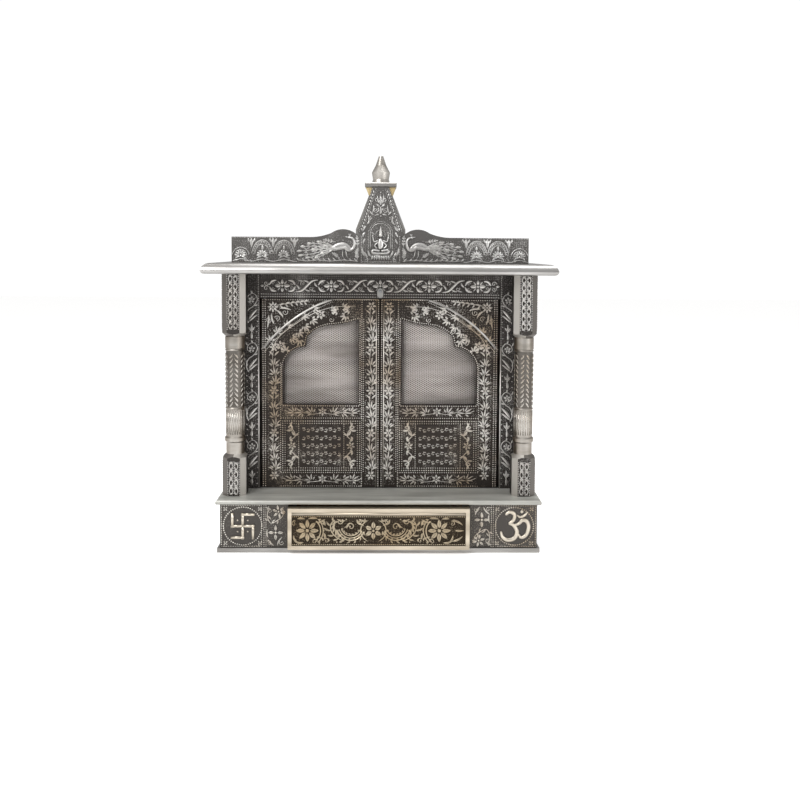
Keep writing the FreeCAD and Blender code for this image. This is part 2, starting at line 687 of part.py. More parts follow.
def door_rib(side):
    """The arched half-round rib across the door, swept about the arch's centre."""
    centre = rib_centre()
    outer_radius = RIB_RADIUS + RIB_WIDTH / 2
    start = math.acos((DOOR_OUTER_X - RIB_EDGE_CLEARANCE - centre.x) / outer_radius)
    end = math.asin((DOOR_HEAD_Z - centre.z) / outer_radius)

    def at(radius, height):
        return centre + Vector(radius * math.cos(start), -height, radius * math.sin(start))

    section = bulge(0, RIB_HEIGHT, RIB_RADIUS - RIB_WIDTH / 2, outer_radius, RIB_FACETS)
    points = [at(radius, height) for height, radius in section]
    face = Part.Face(Part.Wire(chain(points + points[:1])))
    return on_side(side, face.revolve(centre, Vector(0, -1, 0), math.degrees(end - start)))


# Turn button

def turn_button():
    """The flat button with round ends, hung by its nail."""
    nail_z = button_nail_z()
    reach = BUTTON_WIDTH / 2
    front_y = FACADE_Y - BUTTON_STANDOFF - BUTTON_THICKNESS
    tip_z = nail_z - BUTTON_LENGTH + BUTTON_WIDTH

    def at(x, z):
        return Vector(x, front_y, z)

    edges = [arc(at(-reach, nail_z), at(0, nail_z + reach), at(reach, nail_z))]
    edges.append(line(at(reach, nail_z), at(reach, tip_z)))
    edges.append(arc(at(reach, tip_z), at(0, tip_z - reach), at(-reach, tip_z)))
    edges.append(line(at(-reach, tip_z), at(-reach, nail_z)))
    shape = extruded(edges, Vector(0, BUTTON_THICKNESS, 0))
    bore_radius = NAIL_RADIUS + NAIL_RUNNING_CLEARANCE
    bore_start = Vector(0, front_y, nail_z)
    return shape.cut(Part.makeCylinder(bore_radius, BUTTON_THICKNESS, bore_start, Vector(0, 1, 0)))


def button_nail():
    """The nail with a head in front of the button and a collar behind it."""
    button_front_y = FACADE_Y - BUTTON_STANDOFF - BUTTON_THICKNESS
    head_back = button_front_y - NAIL_HEAD_GAP
    head_front = head_back - NAIL_HEAD_HEIGHT
    collar_front = FACADE_Y - BUTTON_STANDOFF + NAIL_HEAD_GAP
    nail_end = FACADE_Y + NAIL_DEPTH
    crown_radius = NAIL_HEAD_RADIUS - NAIL_HEAD_EASE
    outline = [(0, nail_end), (NAIL_RADIUS, nail_end), (NAIL_RADIUS, FACADE_Y), (NAIL_HEAD_RADIUS, FACADE_Y),
               (NAIL_HEAD_RADIUS, collar_front), (NAIL_RADIUS, collar_front), (NAIL_RADIUS, head_back),
               (NAIL_HEAD_RADIUS, head_back), (crown_radius, head_front), (0, head_front), (0, nail_end)]
    points = [Vector(radius, y, button_nail_z()) for radius, y in outline]
    face = Part.Face(Part.Wire(chain(points)))
    return face.revolve(points[0], Vector(0, 1, 0), 360)


# Drawer, drawn where it stands a little open

def drawer_face_y():
    """The front face of the drawer."""
    return BASE_Y - DRAWER_AJAR


def drawer_z():
    """The underside of the drawer box, just clear of the plinth."""
    return BASE_Z + DRAWER_RUNNING_GAP


def drawer_front():
    """The drawer's front board: a raised border round a sunk field."""
    y = (drawer_face_y(), drawer_face_y() + DRAWER_FRONT_THICKNESS)
    z = (BASE_Z + DRAWER_FRONT_LIFT, BASE_Z + DRAWER_FRONT_LIFT + DRAWER_FRONT_HEIGHT)
    shape = board(half(DRAWER_FRONT_WIDTH), y, z)
    field_x = half(DRAWER_FRONT_WIDTH - 2 * DRAWER_BORDER)
    field_z = (z[0] + DRAWER_BORDER, z[1] - DRAWER_BORDER)
    return shape.cut(board(field_x, (y[0], y[0] + DRAWER_FIELD_DEPTH), field_z))


def drawer_side(side):
    """A side of the drawer box."""
    x = (DRAWER_BOX_WIDTH / 2 - DRAWER_SIDE, DRAWER_BOX_WIDTH / 2)
    front_y = drawer_face_y() + DRAWER_FRONT_THICKNESS
    z = (drawer_z(), drawer_z() + DRAWER_SIDE_HEIGHT)
    return on_side(side, board(x, (front_y, front_y + DRAWER_BOX_LENGTH), z))


def drawer_back():
    """The back of the drawer box, between its sides."""
    rear_y = drawer_face_y() + DRAWER_FRONT_THICKNESS + DRAWER_BOX_LENGTH
    z = (drawer_z(), drawer_z() + DRAWER_SIDE_HEIGHT)
    return board(half(DRAWER_BOX_WIDTH - 2 * DRAWER_SIDE), (rear_y - DRAWER_SIDE, rear_y), z)


def drawer_floor():
    """The floor of the drawer box, between its sides, front and back."""
    front_y = drawer_face_y() + DRAWER_FRONT_THICKNESS
    y = (front_y, front_y + DRAWER_BOX_LENGTH - DRAWER_SIDE)
    return board(half(DRAWER_BOX_WIDTH - 2 * DRAWER_SIDE), y, (drawer_z(), drawer_z() + DRAWER_FLOOR))


# Every piece by its name

def all_parts():
    """The named pieces of the cabinet."""
    parts = {
        "plinth_board": plinth_board(),
        "base_back": base_back(),
        "shelf_board": shelf_board(),
        "back_board": back_board(),
        "lintel": lintel(),
        "pivot_pins": pivot_pins(),
        "cornice_board": cornice_board(),
        "spire_core": spire_core(),
        "spire_panel": spire_panel(),
        "spire_block": spire_block(),
        "spire_plate": spire_plate(),
        "finial": finial(),
        "turn_button": turn_button(),
        "button_nail": button_nail(),
        "drawer_front": drawer_front(),
        "drawer_back": drawer_back(),
        "drawer_floor": drawer_floor(),
    }
    for name, side in SIDES:
        parts["base_front_" + name] = base_front(side)
        parts["base_side_" + name] = base_side(side)
        parts["drawer_guide_" + name] = drawer_guide(side)
        parts["side_wall_" + name] = side_wall(side)
        parts["jamb_" + name] = jamb(side)
        parts["column_base_" + name] = column_base(side)
        parts["column_shaft_" + name] = column_shaft(side)
        parts["column_capital_" + name] = column_capital(side)
        parts["crest_" + name] = crest(side)
        parts["door_frame_" + name] = door_frame(side)
        parts["door_mesh_" + name] = door_mesh(side)
        parts["door_panel_" + name] = door_panel(side)
        parts["door_rib_" + name] = door_rib(side)
        parts["drawer_side_" + name] = drawer_side(side)
    return parts


os.makedirs("parts", exist_ok=True)
for part_name, part_shape in all_parts().items():
    part_shape.exportStep("parts/" + part_name + ".step")
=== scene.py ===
"""Looks of a household shrine cabinet in embossed metal sheet, plain sheet, mesh and wood.

Relief is raised in millimetres on the cabinet's own faces: every petal, leaf, stem, bead
and scroll is a surface worked out on whole arrays and set on the face that carries it.
"""

import logging
import math
from dataclasses import dataclass
from enum import Enum
from typing import Protocol

import bpy
import numpy as np
from mathutils import Euler, Matrix
from numpy.typing import NDArray


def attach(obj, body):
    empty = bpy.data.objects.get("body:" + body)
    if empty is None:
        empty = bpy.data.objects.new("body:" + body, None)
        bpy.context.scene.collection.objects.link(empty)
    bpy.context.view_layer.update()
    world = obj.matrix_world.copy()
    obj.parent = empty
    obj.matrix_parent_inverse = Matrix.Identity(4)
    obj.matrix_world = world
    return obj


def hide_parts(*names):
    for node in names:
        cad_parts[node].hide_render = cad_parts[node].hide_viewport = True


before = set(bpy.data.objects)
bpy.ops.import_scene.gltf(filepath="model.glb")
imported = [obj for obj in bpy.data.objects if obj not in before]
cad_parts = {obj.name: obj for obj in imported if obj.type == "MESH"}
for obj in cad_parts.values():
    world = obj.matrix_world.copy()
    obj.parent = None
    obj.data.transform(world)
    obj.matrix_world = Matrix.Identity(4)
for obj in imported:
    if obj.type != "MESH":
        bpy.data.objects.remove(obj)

Array = NDArray[np.float64]
Point = tuple[float, float]
Triple = tuple[float, float, float]
Colour = tuple[float, float, float, float]
log = logging.getLogger("shrine")
TAU = 2 * math.pi
# Metres in a millimetre
MM = 0.001
# How far the foot of a raised shape lies under its face, in millimetres
SINK = 0.15
# The columns' distance from the middle of the cabinet
COLUMN_X = 191.4
# The drawer front's sunk field: half width, foot, head and depth
FIELD_HALF, FIELD_LOW, FIELD_HIGH, FIELD_Y = 112.3, 12.5, 56.0, -117.5
HANDS = (-1.0, 1.0)


def xy(points: object) -> Array:
    """Points of a face as an (n, 2) array."""
    return np.asarray(points, float).reshape(-1, 2)


def rays(angle: Array) -> Array:
    """Unit directions (cos a, sin a)."""
    return np.stack([np.cos(angle), np.sin(angle)], axis=-1)


def rightward(along: Array) -> Array:
    """Directions turned a quarter to the right: (y, -x)."""
    return np.stack([along[..., 1], -along[..., 0]], axis=-1)


def side_name(side: float) -> str:
    """The word for a side: 1 is right and -1 is left."""
    return "right" if side > 0 else "left"


# Grounds: the faces that carry relief

class Ground(Protocol):
    """A face of the cabinet with its own across, up and out directions."""

    def place(self, points: Array) -> Array:
        """Turns (..., 3) across, up and out millimetres into cabinet millimetres."""
        ...

    def turns_faces(self) -> bool:
        """Says whether across, up and out are left-handed, so that faces need turning."""
        ...


@dataclass(frozen=True)
class FlatGround:
    """A flat face: a point is origin + across * u + up * v + out * h."""

    origin: Triple
    across: Triple = (1.0, 0.0, 0.0)
    up: Triple = (0.0, 0.0, 1.0)
    out: Triple = (0.0, -1.0, 0.0)

    def place(self, points: Array) -> Array:
        """Lays (..., 3) relief points on the flat face."""
        axes = np.array([self.across, self.up, self.out])
        return np.array(self.origin) + points @ axes

    def turns_faces(self) -> bool:
        """Says whether the three directions are left-handed."""
        return float(np.dot(np.cross(self.across, self.up), self.out)) < 0


def front(y: float, side: float = 1.0, x: float = 0.0, z: float = 0.0) -> FlatGround:
    """A face that looks forward, measured from x and z outward on its side."""
    return FlatGround((x, y, z), (side, 0.0, 0.0))


@dataclass(frozen=True)
class RoundGround:
    """The outside of an upright turned piece: across runs round it from its front."""

    centre_x: float
    centre_y: float
    radius: float

    def place(self, points: Array) -> Array:
        """Bends relief round the axis: the angle is across / radius, counted from the front.

        Args:
            points: (..., 3) across, up and out, in millimetres.

        Returns:
            (..., 3) positions in the cabinet, in millimetres.
        """
        turn = points[..., 0] / self.radius - math.pi / 2
        reach = self.radius + points[..., 2]
        x = self.centre_x + reach * np.cos(turn)
        y = self.centre_y + reach * np.sin(turn)
        return np.stack([x, y, points[..., 1]], axis=-1)

    def turns_faces(self) -> bool:
        """A turned face is always right-handed."""
        return False


# Flat curves

def bezier(starts: Array, bends: Array, ends: Array, steps: int) -> Array:
    """Curves (1-t)^2 start + 2t(1-t) bend + t^2 end.

    Args:
        starts: (n, 2) first points.
        bends: (n, 2) control points.
        ends: (n, 2) last points.
        steps: points on each curve.

    Returns:
        (n, steps, 2) points.
    """
    t = np.linspace(0.0, 1.0, steps)[None, :, None]
    return (1 - t) ** 2 * starts[:, None] + 2 * t * (1 - t) * bends[:, None] + t ** 2 * ends[:, None]


def arc_points(centres: Array, radii: Array, starts: Array, sweeps: Array, steps: int) -> Array:
    """Round arcs: centre + radius * (cos a, sin a) with a from start to start + sweep.

    Args:
        centres: (n, 2) centres.
        radii: (n,) or (n, steps) radii; growing radii make spirals.
        starts: (n,) first angles in radians.
        sweeps: (n,) turns in radians.
        steps: points on each arc.

    Returns:
        (n, steps, 2) points.
    """
    t = np.linspace(0.0, 1.0, steps)[None, :]
    angle = starts[:, None] + sweeps[:, None] * t
    reach = radii if np.ndim(radii) == 2 else np.asarray(radii)[:, None]
    return centres[:, None] + reach[..., None] * rays(angle)


def arc(centre: Point, radius: float, start: float, sweep: float, steps: int) -> Array:
    """The (steps, 2) points of one round arc."""
    return arc_points(xy(centre), np.array([radius]), np.array([start]), np.array([sweep]), steps)[0]


def smooth(points: list[Point], steps: int = 6) -> Array:
    """A flowing curve through points: each span is the Catmull-Rom cubic of its four nearest points.

    Args:
        points: the points to pass through.
        steps: points for each span.

    Returns:
        (m, 2) points.
    """
    knots = np.array([points[0], *points, points[-1]], dtype=float)
    t = np.linspace(0.0, 1.0, steps, endpoint=False)[None, :, None]
    a, b, c, d = (knots[k:len(knots) - 3 + k, None] for k in range(4))
    square, cube = 2 * a - 5 * b + 4 * c - d, 3 * b - a - 3 * c + d
    span = 0.5 * (2 * b + (c - a) * t + square * t ** 2 + cube * t ** 3)
    return np.concatenate([span.reshape(-1, 2), knots[-1:]])


def spaced(path: Array | list[Point], pitch: float) -> Array:
    """Evenly spaced points on a polyline, by its running length.

    Args:
        path: (m, 2) corners.
        pitch: distance between points.

    Returns:
        (k, 2) points from the first corner to the last.
    """
    path = xy(path)
    lengths = np.concatenate([[0.0], np.cumsum(np.linalg.norm(np.diff(path, axis=0), axis=1))])
    count = max(int(round(lengths[-1] / pitch)), 1) + 1
    marks = np.linspace(0.0, lengths[-1], count)
    return np.stack([np.interp(marks, lengths, path[:, axis]) for axis in (0, 1)], axis=-1)


def box_path(low: Point, high: Point) -> Array:
    """The closed outline of a rectangle from its low to its high corner."""
    return np.array([low, (high[0], low[1]), high, (low[0], high[1]), low], dtype=float)


class Section(Enum):
    """Cross sections of raised strokes: places from -1 to 1 and the rise at each."""

    ROUND = ((-1.0, -0.62, 0.0, 0.62, 1.0), (0.0, 0.72, 1.0, 0.72, 0.0))
    VEINED = ((-1.0, -0.55, 0.0, 0.55, 1.0), (0.0, 1.0, 0.45, 1.0, 0.0))
    FLAT = ((-1.0, -0.7, 0.7, 1.0), (0.0, 1.0, 1.0, 0.0))
    RIDGED = ((-1.0, 0.0, 1.0), (0.0, 1.0, 0.0))


class Embossing:
    """Raised shapes gathered on one ground, then turned into one mesh."""

    def __init__(self, ground: Ground) -> None:
        """Starts an empty relief on the face that carries it."""
        self.ground = ground
        self.points: list[Array] = []
        self.lifts: list[Array] = []
        self.faces: list[list[int]] = []
        self.count = 0

    def on(self, ground: Ground) -> None:
        """Goes on with another ground in the same mesh."""
        self.ground = ground

    def add(self, points: Array, lifts: Array, face_sets: list[Array]) -> None:
        """Adds placed shapes.

        Args:
            points: (n, 3) across, up and out.
            lifts: (n,) from 0 in the recess to 1 on the crown.
            face_sets: arrays of faces, each (k, corners), counted from these points.
        """
        self.points.append(self.ground.place(points.reshape(-1, 3)))
        self.lifts.append(np.broadcast_to(lifts, points.shape[:-1]).reshape(-1))
        turned = self.ground.turns_faces()
        for faces in face_sets:
            order = faces[:, ::-1] if turned else faces
            self.faces.extend((order + self.count).tolist())
        self.count += points.reshape(-1, 3).shape[0]

    def strokes(self, paths: Array, widths: Array, rises: Array, section: Section = Section.ROUND,
                tone: float = 1.0) -> None:
        """Raised ribbons closed underneath.

        With t along the path and s across it, a point is path(t) + s * width(t) * side(t),
        raised by rise(t) * section(s).

        Args:
            paths: (n, m, 2) centre lines.
            widths: half widths, broadcast to (n, m).
            rises: heights, broadcast to (n, m).
            section: the cross section.
            tone: brightness of the crown, up to 1.
        """
        count, steps = paths.shape[:2]
        places, profile = (np.array(row) for row in section.value)
        size = len(places)
        widths = np.broadcast_to(widths, (count, steps))
        rises = np.broadcast_to(rises, (count, steps))
        along = np.gradient(paths, axis=1)
        along = along / (np.linalg.norm(along, axis=2, keepdims=True) + 1e-9)
        side = rightward(along)
        flat = paths[:, :, None] + side[:, :, None] * (widths[:, :, None] * places)[..., None]
        height = rises[:, :, None] * profile - SINK * (profile == 0)
        points = np.concatenate([flat, height[..., None]], axis=-1)
        lifts = np.broadcast_to(profile * tone, (count, steps, size))
        index = np.arange(count * steps * size).reshape(count, steps, size)
        low, high = index[:, :-1], index[:, 1:]
        top = np.stack([low[..., :-1], low[..., 1:], high[..., 1:], high[..., :-1]], axis=-1)
        under = np.stack([low[..., 0], high[..., 0], high[..., -1], low[..., -1]], axis=-1)
        start = index[:, 0, [0] + list(range(size - 1, 0, -1))]
        end = index[:, -1]
        self.add(points, lifts, [top.reshape(-1, 4), under.reshape(-1, 4), start, end])

    def beads(self, centres: Array, radius: float, rise: float = 0.9, sides: int = 6,
              tone: float = 1.0) -> None:
        """Low-sided domes: two rings and an apex, closed underneath.

        Args:
            centres: (n, 2) centres.
            radius: radius of the foot ring.
            rise: height of the apex.
            sides: corners of each ring.
            tone: brightness of the crown.
        """
        centres = xy(centres)
        ring = rays(np.arange(sides) * TAU / sides)
        foot = np.concatenate([ring * radius, np.full((sides, 1), -SINK)], axis=1)
        shoulder = np.concatenate([ring * radius * 0.74, np.full((sides, 1), rise * 0.7)], axis=1)
        bead = np.concatenate([foot, shoulder, [[0.0, 0.0, rise]]])
        centre3 = np.concatenate([centres, np.zeros((len(centres), 1))], axis=1)
        points = centre3[:, None] + bead[None]
        lifts = np.concatenate([np.zeros(sides), np.full(sides, 0.75), [1.0]]) * tone
        base = (np.arange(len(centres)) * (2 * sides + 1))[:, None, None]
        here = np.arange(sides)
        after = (here + 1) % sides
        wall = np.stack([here, after, after + sides, here + sides], axis=-1)
        crown = np.stack([here + sides, after + sides, np.full(sides, 2 * sides)], axis=-1)
        floor = here[::-1][None]
        sets = [(base + part[None]).reshape(-1, part.shape[1]) for part in (wall, crown, floor)]
        self.add(points, np.broadcast_to(lifts, points.shape[:-1]), sets)

    def seeds(self, low: Point, high: Point, pitch: float = 3.3, tone: float = 0.5) -> None:
        """Small low grains at every angle, one in each square of a net: the matted ground.

        Args:
            low: lower corner of the area.
            high: upper corner of the area.
            pitch: width of a square.
            tone: brightness of the crowns.
        """
        counts = [max(int((high[axis] - low[axis]) / pitch), 1) for axis in (0, 1)]
        chance = np.random.default_rng(counts[0] * 97 + counts[1])
        grid = np.stack(np.meshgrid(*(np.arange(count) + 0.5 for count in counts)), axis=-1).reshape(-1, 2)
        middles = np.array(low) + (grid + chance.uniform(-0.28, 0.28, grid.shape)) * pitch
        angle = chance.uniform(0.0, math.pi, len(grid))
        half = rays(angle) * pitch * chance.uniform(0.3, 0.46, (len(grid), 1))
        bow = rightward(half) * -0.5
        paths = np.stack([middles - half, middles + bow, middles + half], axis=1)
        self.strokes(paths, np.array([0.15, 0.17, 0.06]) * pitch, 0.32, Section.RIDGED, tone)

    def bead_row(self, path: Array | list[Point], pitch: float = 2.5, radius: float = 0.95,
                 rise: float = 0.85) -> None:
        """Beads at an even pitch along a polyline."""
        self.beads(spaced(path, pitch), radius, rise)

    def ridge(self, path: Array, width: float | Array, rise: float,
              section: Section = Section.ROUND) -> None:
        """One raised line along a path of (m, 2) points."""
        self.strokes(xy(path)[None], width, rise, section)

    def bars(self, corners: Array, width: float, rise: float, section: Section = Section.FLAT) -> None:
        """Straight raised bars between the corners of a polyline, one bar for each side."""
        corners = xy(corners)
        self.strokes(np.stack([corners[:-1], corners[1:]], axis=1), width, rise, section)

    def leaves(self, roots: Array, tips: Array, width: float | Array, bend: float | Array = 0.0,
               rise: float = 0.9) -> None:
        """Pointed leaves with a sunk midrib: width(t) = width * sin(pi t^0.85)^0.8.

        Args:
            roots: (n, 2) stalk ends.
            tips: (n, 2) points.
            width: half width at the widest.
            bend: sideways bow, as a share of the length.
            rise: height.
        """
        roots, tips = xy(roots), xy(tips)
        middle = (roots + tips) / 2 + rightward(tips - roots) * np.broadcast_to(bend, len(roots))[:, None]
        t = np.linspace(0.0, 1.0, 6)
        outline = np.sin(np.pi * t ** 0.85).clip(0.0) ** 0.8 + 0.06
        widths = np.broadcast_to(width, len(roots))[:, None] * outline
        rises = rise * (0.5 + 0.5 * np.sin(np.pi * t))
        self.strokes(bezier(roots, middle, tips, 6), widths, rises, Section.VEINED)

    def flowers(self, centres: Array, radius: float, petals: int = 6, turn: float = 0.0,
                rise: float = 1.0, fullness: float = 0.85) -> None:
        """Rosettes: petals laid evenly round a bead.

        Args:
            centres: (n, 2) centres.
            radius: reach of the petals.
            petals: how many.
            turn: angle of the first petal.
            rise: height.
            fullness: petal width, as a share of the room for it.
        """
        centres = xy(centres)
        ray = rays(turn + np.arange(petals) * TAU / petals)
        roots = (centres[:, None] + ray * radius * 0.24).reshape(-1, 2)
        tips = (centres[:, None] + ray * radius).reshape(-1, 2)
        self.leaves(roots, tips, radius * math.sin(math.pi / petals) * 0.52 * fullness, 0.0, rise)
        self.beads(centres, radius * 0.2, rise * 1.15)

    def curls(self, centres: Array, radius: float | Array, starts: Array, hands: Array, width: float = 0.6,
              turns: float = 1.1, rise: float = 0.8) -> None:
        """Spirals that close on a bead: the radius shrinks evenly from the start to the eye.

        Args:
            centres: (n, 2) eyes.
            radius: reach at the start.
            starts: (n,) start angles.
            hands: (n,) 1 for a left turn and -1 for a right turn.
            width: half width at the start.
            turns: number of turns.
            rise: height.
        """
        centres = xy(centres)
        count = len(centres)
        t = np.linspace(0.0, 1.0, 14)
        radii = np.broadcast_to(radius, count)[:, None] * (1 - 0.78 * t)
        sweeps = np.broadcast_to(hands, count) * turns * TAU
        paths = arc_points(centres, radii, np.broadcast_to(starts, count), sweeps, 14)
        self.strokes(paths, width * (1 - 0.5 * t), rise)
        self.beads(paths[:, -1], width * 1.25, rise * 1.1)

    def arcs(self, centres: Array, radii: Array, starts: Array, sweeps: Array, width: float = 0.6,
             rise: float = 0.8, steps: int = 10) -> None:
        """Round lines that taper to both ends: width(t) = width * sin(pi t)^0.5."""
        centres = xy(centres)
        count = len(centres)
        t = np.linspace(0.0, 1.0, steps)
        taper = 0.25 + 0.75 * np.sqrt(np.sin(np.pi * t).clip(0.0))
        spread = [np.broadcast_to(np.asarray(value, float), count) for value in (radii, starts, sweeps)]
        self.strokes(arc_points(centres, *spread, steps), width * taper, rise)

    def sprays(self, bases: Array, headings: Array, length: float, pairs: int = 2,
               leaf: float = 5.0, width: float = 1.1, spread: float = 0.75) -> None:
        """Stems with leaves in pairs and one at the tip.

        Args:
            bases: (n, 2) stem roots.
            headings: (n,) directions of the stems.
            length: stem length.
            pairs: pairs of leaves.
            leaf: leaf length.
            width: half width of a leaf.
            spread: angle between leaf and stem.
        """
        bases = xy(bases)
        headings = np.broadcast_to(np.asarray(headings, float), len(bases))
        ray = rays(headings)
        ends = bases + ray * length
        self.strokes(bezier(bases, (bases + ends) / 2, ends, 6), np.linspace(0.45, 0.3, 6), 0.55)
        marks = bases[:, None] + (ends - bases)[:, None] * np.linspace(0.3, 0.85, pairs)[None, :, None]
        size = np.linspace(1.0, 0.8, pairs)[None, :, None]
        for hand in HANDS:
            toward = rays(headings + hand * spread)[:, None]
            self.leaves(marks, marks + toward * leaf * size, width, hand * 0.18)
        self.leaves(ends, ends + ray * leaf * 0.9, width, 0.0)

    def plumes(self, path: Array, hand: float, count: int, reach: float, width: float, lean: float = 0.7,
               curl: float = -0.22, rise: float = 1.0) -> None:
        """Leaves that spring from one side of a stem and sweep forward, the middle ones longest.

        Args:
            path: the stem's (m, 2) points.
            hand: 1 for its left side and -1 for its right side.
            count: leaves.
            reach: length of the longest.
            width: half width of a leaf.
            lean: angle between leaf and stem.
            curl: bow of a leaf, negative towards the stem's heading.
            rise: height.
        """
        stem = spaced(path, 0.5)
        share = np.linspace(0.04, 0.94, count)
        index = (share * (len(stem) - 1)).astype(int)
        along = np.gradient(stem, axis=0)[index]
        angle = np.arctan2(along[:, 1], along[:, 0]) + hand * lean
        length = reach * (0.55 + 0.45 * np.sin(np.pi * share))
        tips = stem[index] + rays(angle) * length[:, None]
        self.leaves(stem[index], tips, width, curl * hand, rise)

    def piece(self, name: str, body: str, slot: str, material: bpy.types.Material,
              replaces: tuple[str, ...] = ()) -> None:
        """Turns the relief into an object that rides on a body, and logs it.

        Args:
            name: the object's name.
            body: the body that carries it.
            slot: the record's material slot; not used.
            material: its finish.
            replaces: nodes that it stands for.
        """
        mesh = bpy.data.meshes.new(name)
        mesh.from_pydata(np.concatenate(self.points) * MM, [], self.faces)
        lift = mesh.attributes.new("lift", "FLOAT", "POINT")
        lift.data.foreach_set("value", np.concatenate(self.lifts))
        mesh.shade_smooth()
        mesh.materials.append(material)
        piece = bpy.data.objects.new(name, mesh)
        bpy.context.scene.collection.objects.link(piece)
        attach(piece, body)
        if replaces:
            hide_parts(*replaces)
        log.info("piece %s on %s: %d triangles", name, body, sum(len(face) - 2 for face in self.faces))


# Shader parts

class NodeDesk:
    """A node tree being filled."""

    def __init__(self, tree: bpy.types.NodeTree) -> None:
        """Takes the tree to fill."""
        self.tree = tree

    def add(self, kind: str, inputs: dict[str | int, object] | None = None,
            **settings: object) -> bpy.types.Node:
        """Adds a node.

        Args:
            kind: the node's type name.
            inputs: values or output sockets for its inputs, by name or number.
            settings: properties of the node.

        Returns:
            The node.
        """
        node = self.tree.nodes.new(kind)
        for name, value in settings.items():
            setattr(node, name, value)
        for key, value in (inputs or {}).items():
            if isinstance(value, bpy.types.NodeSocket):
                self.tree.links.new(value, node.inputs[key])
            else:
                node.inputs[key].default_value = value
        return node

    def link(self, value: bpy.types.NodeSocket, node: bpy.types.Node, name: str) -> None:
        """Feeds the named input of a node."""
        self.tree.links.new(value, node.inputs[name])

    def math(self, operation: str, first: object, second: object = 0.0,
             clamp: bool = False) -> bpy.types.NodeSocket:
        """Adds one sum and returns its result."""
        node = self.add("ShaderNodeMath", {0: first, 1: second}, operation=operation, use_clamp=clamp)
        return node.outputs[0]

    def blend(self, share: object, first: object, second: object) -> bpy.types.NodeSocket:
        """Mixes two colours by a share and returns the mix."""
        node = self.add("ShaderNodeMix", {"Factor": share, 6: first, 7: second}, data_type="RGBA")
        return node.outputs[2]

    def span(self, value: object, low: float, high: float, new_low: float = 0.0,
             new_high: float = 1.0) -> bpy.types.NodeSocket:
        """Maps a value from one range to another, clamped, and returns it."""
        values = {"Value": value, "From Min": low, "From Max": high, "To Min": new_low, "To Max": new_high}
        return self.add("ShaderNodeMapRange", values).outputs["Result"]

    def where(self, scale: Triple = (1.0, 1.0, 1.0)) -> bpy.types.NodeSocket:
        """Object coordinates in metres, stretched along each axis."""
        place = self.add("ShaderNodeTexCoord").outputs["Object"]
        return self.add("ShaderNodeMapping", {"Vector": place, "Scale": scale}).outputs["Vector"]

    def axes(self, source: bpy.types.NodeSocket | None = None) -> bpy.types.NodeOutputs:
        """The X, Y and Z of a direction, or of the object coordinates in metres."""
        source = source or self.add("ShaderNodeTexCoord").outputs["Object"]
        return self.add("ShaderNodeSeparateXYZ", {0: source}).outputs

    def group(self, tree: bpy.types.NodeTree,
              inputs: dict[str, object] | None = None) -> bpy.types.NodeOutputs:
        """Places a shader group and returns its outputs."""
        return self.add("ShaderNodeGroup", inputs, node_tree=tree).outputs

    def noise(self, where: bpy.types.NodeSocket, scale: float, detail: float) -> bpy.types.NodeSocket:
        """Cloudy noise from 0 to 1."""
        return self.add("ShaderNodeTexNoise", {"Vector": where, "Scale": scale,
                                               "Detail": detail}).outputs["Fac"]


GroupParts = tuple[bpy.types.NodeTree, NodeDesk, bpy.types.Node, bpy.types.Node]
MaterialParts = tuple[bpy.types.Material, NodeDesk, bpy.types.Node]


def start_material(name: str) -> MaterialParts:
    """Makes a material and returns it with its desk and its shader."""
    material = bpy.data.materials.new(name)
    material.use_nodes = True
    return material, NodeDesk(material.node_tree), material.node_tree.nodes["Principled BSDF"]


def repaint(material: bpy.types.Material) -> tuple[NodeDesk, bpy.types.Node, bpy.types.NodeSocket]:
    """Returns a finished material's desk, its shader and the socket that feeds its base colour."""
    shader = material.node_tree.nodes["Principled BSDF"]
    return NodeDesk(material.node_tree), shader, shader.inputs["Base Color"].links[0].from_socket


def node_group(name: str, inputs: dict[str, float], outputs: tuple[str, ...]) -> GroupParts:
    """Starts a shader group with plain number inputs and outputs.

    Args:
        name: the group's name.
        inputs: default value of each input, by name.
        outputs: names of the outputs.

    Returns:
        The tree, its desk, its input node and its output node.
    """
    tree = bpy.data.node_groups.new(name, "ShaderNodeTree")
    for socket, value in inputs.items():
        made = tree.interface.new_socket(name=socket, in_out="INPUT", socket_type="NodeSocketFloat")
        made.default_value = value
    for socket in outputs:
        tree.interface.new_socket(name=socket, in_out="OUTPUT", socket_type="NodeSocketFloat")
    desk = NodeDesk(tree)
    return tree, desk, desk.add("NodeGroupInput"), desk.add("NodeGroupOutput")


